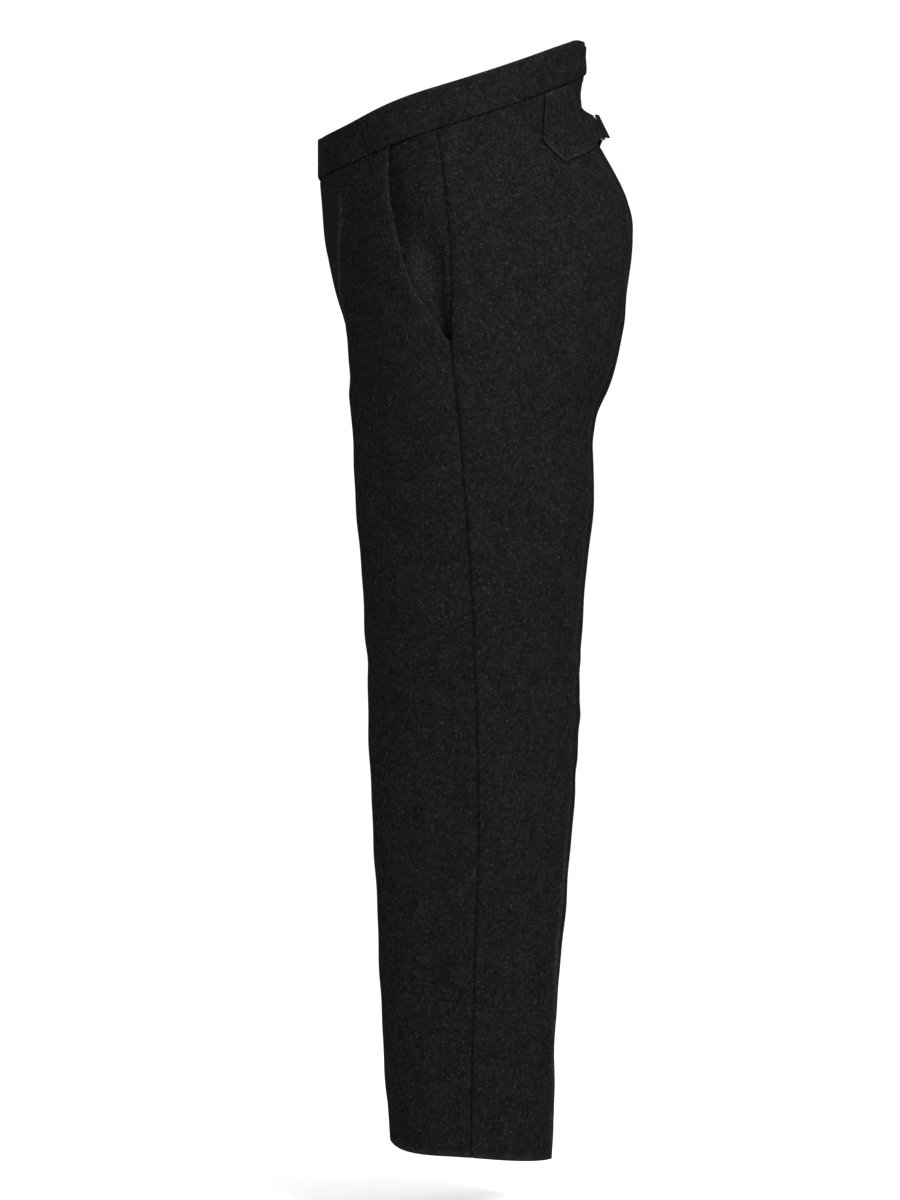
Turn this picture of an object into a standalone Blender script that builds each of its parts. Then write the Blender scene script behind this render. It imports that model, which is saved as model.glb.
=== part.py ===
"""Wool trousers in their worn shape, with a waist that rises to a notched peak at the back.

Metres, +Z up. The front faces -Y and the wearer's left is +X. The origin is in the middle
of the waist, level with the waistband's seam at the sides.

Each half is one smooth sleeve of cloth, described by sections from the waist seam down to
the hem. A section runs from the centre front (below the fork: the inseam), over the front
crease, the side seam and the back crease, to the centre back (below the fork: the inseam).
A place on the cloth is a level (0 at the waist seam, 8 at the fork, 16 at the hem) and a
line (0 centre front, 1 front crease, 2 side seam, 3 back crease, 4 centre back). Every
piece of cloth is cut from this sleeve.
"""

import math

import bpy
import numpy as np

# Thickness of the cloth, and gaps between pieces
CLOTH = 0.002
BAND_CLOTH = 0.003
STRAP_CLOTH = 0.0022
SEAM_GAP = 0.0003
LAYER_GAP = 0.0009

# Grid of the pieces
QUARTER_STEPS = 7
FRONT_CROWDING = 1.3
POCKET_ROWS = 13
LOWER_RISE_ROWS = 5
LEG_ROWS = 16
FACING_STEPS = 5
BAND_ROWS = 3
STRAP_ROWS = 6
FORK_LEVEL = 8
HEM_LEVEL = 16
NORMAL_STEP = 0.002


def table(names, rows):
    """Named columns from rows of numbers."""
    return dict(zip(names.split(), np.array(rows, float).T))


# The lines of the left half. Rows are levels, from the waist seam down.
SIDE_SEAM = table(
    "z x y",
    [
        (0.000, 0.1600, -0.0055),
        (-0.028, 0.1680, 0.0000),
        (-0.070, 0.1765, 0.0050),
        (-0.112, 0.1825, 0.0090),
        (-0.152, 0.1865, 0.0110),
        (-0.190, 0.1880, 0.0110),
        (-0.222, 0.1880, 0.0115),
        (-0.248, 0.1875, 0.0140),
        (-0.272, 0.1870, 0.0165),
        (-0.302, 0.1860, 0.0195),
        (-0.352, 0.1840, 0.0230),
        (-0.430, 0.1795, 0.0290),
        (-0.530, 0.1730, 0.0335),
        (-0.650, 0.1670, 0.0370),
        (-0.780, 0.1635, 0.0355),
        (-0.905, 0.1615, 0.0310),
        (-1.0295, 0.1600, 0.0295),
    ],
)

# turn: degrees between the cloth, where it passes the line, and straight across the body.
# ridge: degrees by which a pressed crease bends the cloth on each side of the line.
# peak: slope at which the hem falls away on each side of the crease.
FRONT_CREASE = table(
    "z x y turn ridge peak",
    [
        (-0.0325, 0.0980, -0.1085, 34, 0, 0),
        (-0.058, 0.0980, -0.1075, 31, 3, 0),
        (-0.090, 0.0960, -0.1085, 27, 6, 0),
        (-0.123, 0.0940, -0.1095, 20, 8, 0),
        (-0.158, 0.0925, -0.1070, 12, 9, 0),
        (-0.193, 0.0915, -0.1015, 5, 9, 0),
        (-0.222, 0.0915, -0.0990, 1, 9, 0),
        (-0.247, 0.0920, -0.0975, 0, 9, 0),
        (-0.270, 0.0925, -0.0965, 0, 10, 0),
        (-0.300, 0.0930, -0.0950, 0, 11, 0),
        (-0.350, 0.0935, -0.0930, 0, 12, 0),
        (-0.428, 0.0945, -0.0870, 0, 14, 0),
        (-0.528, 0.0960, -0.0800, 0, 16, 0),
        (-0.647, 0.0980, -0.0763, 0, 18, 0),
        (-0.776, 0.0980, -0.0700, 0, 18, 0),
        (-0.899, 0.0980, -0.0642, 0, 18, 0),
        (-1.0205, 0.0980, -0.0560, 0, 18, 0.34),
    ],
)

BACK_CREASE = table(
    "z x y turn ridge",
    [
        (0.057, 0.0660, 0.1260, 22, 0),
        (0.018, 0.0650, 0.1340, 17, 0),
        (-0.025, 0.0660, 0.1610, 11, 0),
        (-0.076, 0.0680, 0.1860, 4, 0),
        (-0.128, 0.0700, 0.1865, 0, 0),
        (-0.178, 0.0720, 0.1800, 0, 1),
        (-0.218, 0.0750, 0.1730, 0, 2),
        (-0.249, 0.0780, 0.1635, 0, 3),
        (-0.274, 0.0820, 0.1520, 0, 4),
        (-0.304, 0.0840, 0.1475, 0, 5),
        (-0.354, 0.0870, 0.1485, 0, 8),
        (-0.433, 0.0910, 0.1415, 0, 11),
        (-0.534, 0.0950, 0.1340, 0, 14),
        (-0.656, 0.0980, 0.1295, 0, 17),
        (-0.787, 0.0980, 0.1190, 0, 18),
        (-0.913, 0.0980, 0.1095, 0, 18),
        (-1.0380, 0.0980, 0.1050, 0, 18),
    ],
)

# turn: degrees by which the cloth folds in towards the middle plane. climb: its height's slope.
CENTRE_FRONT = table(
    "z y turn climb",
    [
        (-0.034, -0.1335, 0, 0),
        (-0.060, -0.1315, 0, 0),
        (-0.092, -0.1285, 0, 0),
        (-0.126, -0.1230, 0, 0),
        (-0.161, -0.1140, 4, 0),
        (-0.196, -0.0990, 14, 0),
        (-0.226, -0.0730, 34, 0),
        (-0.248, -0.0340, 62, 0),
        (-0.262, 0.0280, 90, 0),
    ],
)

CENTRE_BACK = table(
    "z y turn climb",
    [
        (0.074, 0.1380, 0, 0.27),
        (0.033, 0.1385, 0, 0.20),
        (-0.018, 0.1645, 0, 0.10),
        (-0.074, 0.1875, 0, 0),
        (-0.130, 0.1830, 5, 0),
        (-0.180, 0.1680, 13, 0),
        (-0.220, 0.1430, 30, 0),
        (-0.248, 0.0970, 60, 0),
        (-0.262, 0.0280, 90, 0),
    ],
)

# Rows are levels from the fork down
INSEAM = table(
    "z x y",
    [
        (-0.262, 0.0000, 0.0280),
        (-0.298, 0.0095, 0.0270),
        (-0.350, 0.0135, 0.0260),
        (-0.430, 0.0180, 0.0260),
        (-0.530, 0.0235, 0.0280),
        (-0.650, 0.0280, 0.0300),
        (-0.780, 0.0315, 0.0300),
        (-0.905, 0.0340, 0.0280),
        (-1.0295, 0.0370, 0.0270),
    ],
)

# Soft folds of the outer side, each along a line in the side view: how far the cloth moves
# out (in, below 0), half the fold's width, and the share of it that the right half has
FOLDS = table(
    "y_from z_from y_to z_to depth width right",
    [
        (0.085, -0.265, 0.142, -0.325, -0.0050, 0.022, 0.9),
        (0.066, -0.172, 0.124, -0.140, -0.0030, 0.016, 0.6),
        (0.080, -0.200, 0.128, -0.166, 0.0025, 0.016, 1.2),
        (0.050, -0.330, 0.120, -0.390, 0.0025, 0.020, 0.7),
        (-0.004, -0.700, -0.014, -0.890, -0.0030, 0.017, 0.6),
        (0.028, -0.540, 0.034, -0.660, 0.0020, 0.018, 1.2),
        (0.085, -0.560, 0.128, -0.535, -0.0025, 0.012, 0.7),
        (0.080, -0.655, 0.124, -0.640, -0.0020, 0.012, 1.1),
        (-0.070, -0.330, -0.045, -0.420, -0.0022, 0.018, 0.8),
    ],
)


# The slanted pocket's opening in the side view, from the side seam up to the waist seam
POCKET_LINE = table(
    "z y",
    [
        (-0.235, 0.0150),
        (-0.215, 0.0095),
        (-0.206, 0.0025),
        (-0.189, -0.0085),
        (-0.173, -0.0190),
        (-0.153, -0.0300),
        (-0.131, -0.0375),
        (-0.111, -0.0420),
        (-0.090, -0.0465),
        (-0.068, -0.0515),
        (-0.045, -0.0535),
        (0.000, -0.0545),
    ],
)
POCKET_END_Z = -0.215
POCKET_GAPE = 0.0035
FACING_DEPTH = CLOTH + LAYER_GAP
FACING_UNDERLAP = 0.12
FACING_SINK = (0.72, 0.92)
POCKET_HOLLOW = 0.0030

# The left front laps over the right one to cover the fly, and joins it in a seam below
FLY_LAP = 0.006
FLY_RISE = CLOTH + SEAM_GAP
FLY_FLAT = 0.009
FLY_BLEND = 0.040
FLY_LAP_END = (4.4, 4.85)
FLY_RISE_END = (4.95, 5.7)

# Waistband: heights at every half line from the centre front to the centre back
BAND_HEIGHTS = np.array([0.042, 0.0405, 0.0405, 0.043, 0.043, 0.0425, 0.042, 0.0395, 0.032])
BAND_PROUD = 0.0008
BAND_LAP_STEPS = 3
BAND_LAP_RISE = BAND_CLOTH + SEAM_GAP
BAND_LAP_BLEND = 0.040
NOTCH_HALF_WIDTH = 0.015
LEFT_FLARE = 0.0010
RIGHT_FLARE = 0.0040

# Cinch straps: lines across them, each from the top edge to the bottom one, by distance from
# the middle plane and height
STRAP_EDGES = table(
    "top_x top_z bottom_x bottom_z",
    [
        (0.1083, 0.0600, 0.1307, -0.0097),
        (0.1060, 0.0600, 0.1298, -0.0170),
        (0.1035, 0.0600, 0.1287, -0.0242),
        (0.1010, 0.0600, 0.1275, -0.0314),
        (0.0950, 0.0600, 0.1180, -0.0270),
        (0.0880, 0.0600, 0.1070, -0.0228),
        (0.0800, 0.0600, 0.0905, -0.0174),
        (0.0700, 0.0500, 0.0745, -0.0123),
        (0.0580, 0.0400, 0.0580, -0.0080),
        (0.0460, 0.0320, 0.0460, -0.0025),
        (0.0340, 0.0285, 0.0340, 0.0015),
        (0.0240, 0.0265, 0.0240, 0.0040),
    ],
)
STRAP_EDGE_BEND = 1.35
STRAP_SEAM_GAP = 0.0012
STRAP_REST = STRAP_CLOTH / 2 + 0.0008
STRAP_LEAVES_BODY = (0.058, 0.024)
STRAP_WIDTH = 0.0265
TURN_WIDTH = 0.0213
LEFT_STRAP_LIFT = -0.0015
RIGHT_STRAP_LIFT = 0.0025
FREE_END_X = (0.0150, 0.0320)
FREE_END_RISE = 0.0030
STRAP_BEFORE_TURN = (0.0240, 0.0170)
STRAP_AFTER_TURN = (0.0170, 0.0220)
TURN_STEPS = 4

# Buckle: a wire ring over the small of the back. It leans with the back, and its right side
# is pulled out by the strap that turns round it.
BUCKLE_LENGTH = 0.0250
BUCKLE_HEIGHT = 0.0268
BUCKLE_WIRE = 0.0024
BUCKLE_CORNER = 0.0014
BUCKLE_CORNER_STEPS = 4
BUCKLE_PLACE = np.array([0.0, 0.1468, 0.0148])
BUCKLE_LEAN = 26
BUCKLE_TILT = 12
BUCKLE_STAND_OFF = 0.0072
BAR_X = (BUCKLE_LENGTH - BUCKLE_WIRE) / 2
BAR_REACH = BUCKLE_WIRE / 2 + SEAM_GAP + STRAP_CLOTH / 2

WOOL_COLOUR = (0.016, 0.016, 0.0162, 1.0)
WOOL_ROUGHNESS = 0.95
METAL_COLOUR = (0.020, 0.020, 0.021, 1.0)
METAL_ROUGHNESS = 0.38
COLLECTION = "trousers"


def spline(values, at):
    """A natural cubic spline through values at 0, 1, 2 and so on, read at each place in at."""
    count = len(values)
    system = np.eye(count)
    right = np.zeros(count)
    for i in range(1, count - 1):
        system[i, i - 1 : i + 2] = (1, 4, 1)
        right[i] = 6 * (values[i - 1] - 2 * values[i] + values[i + 1])
    bend = np.linalg.solve(system, right)
    i = np.clip(np.floor(at).astype(int), 0, count - 2)
    t = at - i
    s = 1 - t
    curve = ((s**3 - s) * bend[i] + (t**3 - t) * bend[i + 1]) / 6
    return s * values[i] + t * values[i + 1] + curve


def smooth(value, low, high):
    """0 at low, 1 at high, and a smooth step between."""
    t = np.clip((value - low) / (high - low), 0, 1)
    return t * t * (3 - 2 * t)


def unit(vectors):
    return vectors / np.linalg.norm(vectors, axis=-1, keepdims=True)


def heading(degrees, across, along):
    """Plan directions turned by some degrees from across the body towards along it."""
    angle = np.radians(degrees)
    return np.stack([across * np.cos(angle), along * np.sin(angle)], axis=-1)


def edge_line(rise, level):
    """The inner edge of a half: the centre seam down to the fork, and then the inseam."""
    above = np.minimum(level, FORK_LEVEL)
    below = np.maximum(level - FORK_LEVEL, 0)
    on_leg = level > FORK_LEVEL
    return {
        "x": np.where(on_leg, spline(INSEAM["x"], below), 0.0),
        "y": np.where(on_leg, spline(INSEAM["y"], below), spline(rise["y"], above)),
        "z": np.where(on_leg, spline(INSEAM["z"], below), spline(rise["z"], above)),
        "turn": np.where(on_leg, 90.0, spline(rise["turn"], above)),
        "climb": np.where(on_leg, 0.0, spline(rise["climb"], above)),
    }


def lines_at(level):
    """The five lines' plan points and heights, and each quarter's directions and slopes."""
    front = edge_line(CENTRE_FRONT, level)
    back = edge_line(CENTRE_BACK, level)
    crease = {name: spline(values, level) for name, values in FRONT_CREASE.items()}
    seat = {name: spline(values, level) for name, values in BACK_CREASE.items()}
    side = {name: spline(values, level) for name, values in SIDE_SEAM.items()}
    lines = (front, crease, side, seat, back)
    knots = np.stack([np.stack([line["x"], line["y"]], -1) for line in lines], axis=1)
    heights = np.stack([line["z"] for line in lines], axis=1)
    straight_back = np.broadcast_to(np.array([0.0, 1.0]), front["x"].shape + (2,))
    leaving = np.stack(
        [
            heading(front["turn"], 1, -1),
            heading(crease["turn"] + crease["ridge"], 1, 1),
            straight_back,
            heading(seat["turn"] - seat["ridge"], -1, 1),
        ],
        axis=1,
    )
    arriving = np.stack(
        [
            heading(crease["turn"] - crease["ridge"], 1, 1),
            straight_back,
            heading(seat["turn"] + seat["ridge"], -1, 1),
            heading(back["turn"], -1, -1),
        ],
        axis=1,
    )
    chords = knots[:, 1:] - knots[:, :-1]
    steps = np.diff(heights, axis=1) / np.linalg.norm(chords, axis=2)
    slopes = np.column_stack([front["climb"], (steps[:, :-1] + steps[:, 1:]) / 2, back["climb"]])
    slopes_before, slopes_after = slopes[:, 1:].copy(), slopes[:, :-1].copy()
    slopes_before[:, 0] += crease["peak"]
    slopes_after[:, 1] -= crease["peak"]
    return knots, leaving, arriving, heights, slopes_after, slopes_before


def smooth_cloth(level, line):
    """Points of the left half before its folds, at each level and line.

    Between two lines a section is a cubic in plan whose handles would draw an ellipse's arc,
    and its height is a cubic with the lines' slopes.
    """
    shape = line.shape
    level, line = level.reshape(-1), line.reshape(-1)
    knots, leaving, arriving, heights, slopes_after, slopes_before = lines_at(level)
    rows = np.arange(len(line))
    i = np.clip(np.floor(line).astype(int), 0, 3)
    start, end = knots[rows, i], knots[rows, i + 1]
    leave, arrive = leaving[rows, i], arriving[rows, i]
    chord = end - start
    turn = np.arccos(np.clip((leave * arrive).sum(1), -1, 1))
    share = 1 / (3 * np.cos(turn / 4) ** 2 * np.cos(turn / 2))
    first = start + leave * (share * (chord * leave).sum(1))[:, None]
    second = end - arrive * (share * (chord * arrive).sum(1))[:, None]
    t = (line - i)[:, None]
    s = 1 - t
    plan = s**3 * start + 3 * s**2 * t * first + 3 * s * t**2 * second + t**3 * end
    length = np.linalg.norm(chord, axis=1)
    t, s = t[:, 0], s[:, 0]
    height = (
        (1 + 2 * t) * s**2 * heights[rows, i]
        + t * s**2 * slopes_after[rows, i] * length
        + t**2 * (3 - 2 * t) * heights[rows, i + 1]
        - t**2 * s * slopes_before[rows, i] * length
    )
    return np.column_stack([plan, height]).reshape(shape + (3,))


def outward(level, line):
    """Outward directions square to the smooth cloth, but level along the waist seam."""
    top = np.where(level > FORK_LEVEL, FORK_LEVEL + 1e-6, 0.0)
    foot = np.where(level > FORK_LEVEL, float(HEM_LEVEL), float(FORK_LEVEL))
    higher = np.maximum(level - NORMAL_STEP, top)
    lower = np.minimum(level + NORMAL_STEP, foot)
    before = np.maximum(line - NORMAL_STEP, 0)
    after = np.minimum(line + NORMAL_STEP, 4)
    down = smooth_cloth(lower, line) - smooth_cloth(higher, line)
    along = smooth_cloth(level, after) - smooth_cloth(level, before)
    normal = np.cross(down, along)
    normal[level < 1e-9, 2] = 0
    normal = unit(normal)
    on_seam = ((line < 1e-9) | (line > 4 - 1e-9)) & (level > FORK_LEVEL - 0.8) & (level <= FORK_LEVEL)
    normal[on_seam] = (0, 0, -1)
    return normal


def fold_depth(points, line, side):
    """How far the soft folds move each point of the outer side out of the smooth cloth.

    A fold is a ridge exp(-(distance / width)^2) along its line, faded past both ends.
    """
    total = np.zeros(line.shape)
    for y0, z0, y1, z1, depth, width, right in zip(*FOLDS.values()):
        span = math.hypot(y1 - y0, z1 - z0)
        along_y, along_z = (y1 - y0) / span, (z1 - z0) / span
        y, z = points[..., 1] - y0, points[..., 2] - z0
        along = (y * along_y + z * along_z) / span
        across = (z * along_y - y * along_z) / width
        fade = smooth(along, -0.45, 0.35) * (1 - smooth(along, 0.65, 1.45))
        share = 1.0 if side > 0 else right
        total += share * depth * fade * np.exp(-(across**2))
    return total * smooth(line, 0.9, 1.35) * (1 - smooth(line, 2.65, 3.1))


def cloth(level, line, side):
    """Points of the cloth's outer face with its folds, and their outward directions."""
    points = smooth_cloth(level, line)
    facing = outward(level, line)
    depth = fold_depth(points, line, side)
    return points + facing * depth[..., None], facing


def bisect(is_past, low, high):
    """The places between low and high where is_past turns true."""
    low, high = np.array(low, float), np.array(high, float)
    for _ in range(30):
        middle = (low + high) / 2
        past = is_past(middle)
        low, high = np.where(past, low, middle), np.where(past, middle, high)
    return (low + high) / 2


def pocket_foot():
    """The level at which the pocket's opening meets the side seam."""
    return bisect(lambda level: spline(SIDE_SEAM["z"], level) < POCKET_END_Z, [0.0], [8.0])[0]


def pocket_line(level):
    """Where the pocket's opening crosses each level, between lines 1 and 2."""

    def past(line):
        points = smooth_cloth(level, line)
        return points[..., 1] > np.interp(points[..., 2], POCKET_LINE["z"], POCKET_LINE["y"])

    return bisect(past, np.full(level.shape, 1.0), np.full(level.shape, 2.0))


def panel_levels():
    """Levels of a panel's rows, with one at the pocket's foot and one at the fork."""
    foot = pocket_foot()
    upper = np.linspace(0, foot, POCKET_ROWS + 1)
    lower = np.linspace(foot, FORK_LEVEL, LOWER_RISE_ROWS + 1)[1:]
    leg = np.linspace(FORK_LEVEL, HEM_LEVEL, LEG_ROWS + 1)[1:]
    return np.concatenate([upper, lower, leg])


def front_shares():
    """Steps from the centre front to the front crease, crowded towards the centre."""
    return np.linspace(0, 1, QUARTER_STEPS + 1) ** FRONT_CROWDING


def pull_back(points, row, neighbour):
    """Moves one edge of a grid half a seam gap towards the row or column next to it."""
    points[row] += SEAM_GAP / 2 * unit(points[neighbour] - points[row])


def keep_off_middle(grid):
    """Leaves half a seam gap between a half's points and the middle plane."""
    grid[..., 0] = np.maximum(grid[..., 0], SEAM_GAP / 2)


def trim_panel(grid, levels, inner_column, seam_column):
    """Gives a panel's grid its seam gaps at the waist, the side and the inseam."""
    next_to = {0: 1, -1: -2}
    leg = grid[levels > FORK_LEVEL - 1e-6]
    pull_back(leg, (slice(None), inner_column), (slice(None), next_to[inner_column]))
    grid[levels > FORK_LEVEL - 1e-6] = leg
    pull_back(grid, (slice(None), seam_column), (slice(None), next_to[seam_column]))
    pull_back(grid, 0, 1)


def front_panel(side, material):
    """A front, cut away along the pocket's opening, with the fly's lap on the wearer's left."""
    levels = panel_levels()
    foot = pocket_foot()
    edge = np.where(levels < foot - 1e-6, pocket_line(levels), 2.0)[:, None]
    share = np.linspace(0, 1, QUARTER_STEPS + 1)
    near_centre = np.tile(front_shares()[:-1], (len(levels), 1))
    line = np.concatenate([near_centre, 1 + share * (edge - 1)], axis=1)
    level = np.repeat(levels[:, None], line.shape[1], axis=1)
    outer, facing = cloth(level, line, side)
    gape = POCKET_GAPE * np.sin(np.pi * np.clip(level / foot, 0, 1)) ** 2
    outer += facing * (gape * smooth(line, 1.05, edge))[..., None]
    inner = outer - facing * CLOTH
    keep_off_middle(outer)
    keep_off_middle(inner)
    if side > 0:
        lap_fly(level, line, facing, outer, inner)
    trim_panel(outer, levels, 0, -1)
    trim_panel(inner, levels, 0, -1)
    wall(sided("front", side), outer, inner, side, material)


def lap_fly(level, line, facing, outer, inner):
    """Raises the left front beside the fly, and lays its edge on the right front's cloth."""
    distance = smooth_cloth(level, line)[..., 0]
    flat = 1 - smooth(distance, FLY_FLAT, FLY_BLEND)
    rise = FLY_RISE * flat * (1 - smooth(level, *FLY_RISE_END))
    lap = FLY_LAP * (1 - smooth(distance, 0, FLY_BLEND)) * (1 - smooth(level, *FLY_LAP_END))
    for grid in (outer, inner):
        grid += facing * rise[..., None]
        grid[..., 0] -= lap
    lapped = lap[:, 0] > 0
    edge_level, edge_lap, edge_rise = level[lapped, 0], lap[lapped, 0], rise[lapped, :1]

    def past(place):
        return smooth_cloth(edge_level, place)[:, 0] > edge_lap

    place = bisect(past, np.zeros(len(edge_level)), np.ones(len(edge_level)))
    under, under_facing = cloth(edge_level, place, -1)
    mirror = np.array([-1, 1, 1])
    outer[lapped, 0] = (under + under_facing * edge_rise) * mirror
    inner[lapped, 0] = (under + under_facing * (edge_rise - CLOTH)) * mirror


def back_panel(side, material):
    """A back, from the side seam over the seat to the centre seam and the inseam."""
    levels = panel_levels()
    line = np.tile(np.linspace(2, 4, 2 * QUARTER_STEPS + 1), (len(levels), 1))
    level = np.repeat(levels[:, None], line.shape[1], axis=1)
    outer, facing = cloth(level, line, side)
    inner = outer - facing * CLOTH
    keep_off_middle(outer)
    keep_off_middle(inner)
    trim_panel(outer, levels, -1, 0)
    trim_panel(inner, levels, -1, 0)
    wall(sided("back", side), outer, inner, side, material)


def pocket_facing(side, material):
    """The cloth in the pocket's mouth: it meets the side seam and runs under the front's edge."""
    foot = pocket_foot()
    rows = panel_levels()[: POCKET_ROWS + 2]
    edge = pocket_line(rows)[:, None]
    share = np.linspace(0, 1, FACING_STEPS + 1)
    first = edge - FACING_UNDERLAP
    line = first + share * (2 - first)
    level = np.repeat(rows[:, None], line.shape[1], axis=1)
    outer, facing = cloth(level, line, side)
    under = 1 - smooth(line, edge, np.maximum(2.0, edge + 1e-6))
    under = np.maximum(under, smooth(level / foot, *FACING_SINK))
    hollow = np.sin(np.pi * np.clip((line - first) / (2 - first), 0, 1)) ** 2
    hollow = hollow * smooth(level / foot, 0.3, 0.7)
    outer -= facing * (FACING_DEPTH * under + POCKET_HOLLOW * hollow)[..., None]
    inner = outer - facing * CLOTH
    for grid in (outer, inner):
        pull_back(grid, (slice(None), -1), (slice(None), -2))
        pull_back(grid, 0, 1)
    wall(sided("pocket_facing", side), outer, inner, side, material)


def waistband(side, material):
    """A half of the band. It ends in the notch at the back, and the left one laps in front."""
    rows = np.linspace(1, 0, BAND_ROWS + 1)[:, None]
    end = 4 - (NOTCH_HALF_WIDTH * rows + SEAM_GAP / 2) / BACK_CREASE["x"][0]
    shares = np.linspace(0, 1, QUARTER_STEPS + 1)
    fixed = np.concatenate([front_shares()[:-1], 1 + shares[:-1], 2 + shares])
    if side > 0:
        fixed = np.concatenate([-front_shares()[BAND_LAP_STEPS:0:-1], fixed])
    last = 3 + shares[1:] * (end - 3)
    line = np.concatenate([np.tile(fixed, (BAND_ROWS + 1, 1)), last], axis=1)
    seam, facing = cloth(np.zeros(line.shape), np.abs(line), side)
    mirrored = np.where(line < 0, -1.0, 1.0)
    seam[..., 0] *= mirrored
    facing[..., 0] *= mirrored
    height = rows * spline(BAND_HEIGHTS, 2 * np.abs(line))
    flare = (LEFT_FLARE if side > 0 else RIGHT_FLARE) * rows * smooth(line, 3.2, 4)
    proud = BAND_PROUD + flare
    if side > 0:
        proud = proud + BAND_LAP_RISE * (1 - smooth(seam[..., 0], 0.003, BAND_LAP_BLEND))
    outer = seam + facing * proud[..., None]
    outer[..., 2] += SEAM_GAP / 2 + height
    inner = outer - facing * BAND_CLOTH
    if side < 0:
        keep_off_middle(outer)
        keep_off_middle(inner)
    wall(sided("waistband", side), outer, inner, side, material)


def on_back(x, z):
    """Level and line of the point of the back at a distance from the middle and a height."""
    level = np.full(x.shape, 1.0)
    line = np.full(x.shape, 3.0)
    step = 1e-4
    for _ in range(25):
        here = smooth_cloth(level, line)
        by_level = (smooth_cloth(level + step, line) - here) / step
        by_line = (smooth_cloth(level, line + step) - here) / step
        miss_x, miss_z = x - here[..., 0], z - here[..., 2]
        scale = by_level[..., 0] * by_line[..., 2] - by_level[..., 2] * by_line[..., 0]
        level_move = (miss_x * by_line[..., 2] - miss_z * by_line[..., 0]) / scale
        line_move = (miss_z * by_level[..., 0] - miss_x * by_level[..., 2]) / scale
        level = np.clip(level + np.clip(level_move, -0.5, 0.5), 0.0, 4.0)
        line = np.clip(line + np.clip(line_move, -0.3, 0.3), 2.0, 3.999)
    return level, line


def seam_height(x):
    """Height of the waist seam of the back at distances from the middle."""
    line = np.linspace(4, 2, 81)
    seam = smooth_cloth(np.zeros(81), line)
    return np.interp(x, seam[:, 0], seam[:, 2])


def buckle_frame():
    """The buckle's directions up along it and out of it."""
    lean = math.radians(BUCKLE_LEAN)
    up = np.array([0, -math.sin(lean), math.cos(lean)])
    out = np.array([0, math.cos(lean), math.sin(lean)])
    return up, out


def strap_route(side):
    """Distance from the middle, height over the body, width and lift, round the buckle's bar.

    The left strap passes over its bar and is sewn down under itself. The right one comes from
    under its bar, turns back over it and ends loose.
    """
    tilt = math.radians(BUCKLE_TILT)
    bar_x = BAR_X * math.cos(tilt)
    bar_out = BUCKLE_STAND_OFF - side * BAR_X * math.sin(tilt)
    first = side * BAR_REACH
    lift = LEFT_STRAP_LIFT if side > 0 else RIGHT_STRAP_LIFT
    turn = [
        (bar_x - BAR_REACH * math.sin(angle), bar_out + first * math.cos(angle), TURN_WIDTH, 0.0)
        for angle in np.linspace(0, math.pi, TURN_STEPS + 1)
    ]
    before = [(x, bar_out + first, STRAP_WIDTH, lift) for x in STRAP_BEFORE_TURN]
    if side > 0:
        after = [(x, bar_out - first, TURN_WIDTH, 0.0) for x in STRAP_AFTER_TURN]
    else:
        lying = bar_out - first
        near, far = FREE_END_X
        after = [(near, lying, STRAP_WIDTH, lift), (far, lying + FREE_END_RISE, STRAP_WIDTH, lift)]
    return np.array(before + turn + after)


def cinch_strap(side, material):
    """A cinch strap, from its end sewn under the waistband to its turn round the buckle's bar."""
    share = np.linspace(0, 1, STRAP_ROWS + 1)[:, None]
    top_x, top_z, bottom_x, bottom_z = STRAP_EDGES.values()
    top_z = np.minimum(top_z, seam_height(top_x) - STRAP_SEAM_GAP)
    x = top_x + share**STRAP_EDGE_BEND * (bottom_x - top_x)
    z = top_z + share * (bottom_z - top_z)
    level, line = on_back(x, z)
    body, facing = cloth(level, line, side)
    on_body = body + facing * STRAP_REST
    up, out = buckle_frame()
    route = strap_route(side)
    sideways = np.array([1.0, 0, 0])
    across = (0.5 - share[..., None]) * up
    loose = BUCKLE_PLACE + across * route[:, 2:3] + route[:, :1] * sideways
    loose = loose + route[:, 1:2] * out + route[:, 3:] * up
    flat = BUCKLE_PLACE + across * STRAP_WIDTH + x[..., None] * sideways
    flat = flat + route[0, 1] * out + route[0, 3] * up
    blend = 1 - smooth(x, *STRAP_LEAVES_BODY[::-1])[..., None]
    middle = np.concatenate([on_body * (1 - blend) + flat * blend, loose[:, 1:]], axis=1)
    along = np.gradient(middle, axis=1)
    down = np.gradient(middle, axis=0)
    outwards = unit(np.cross(down, along))
    outer = middle + outwards * STRAP_CLOTH / 2
    inner = middle - outwards * STRAP_CLOTH / 2
    wall(sided("cinch_tab", side), outer, inner, side, material)


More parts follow.
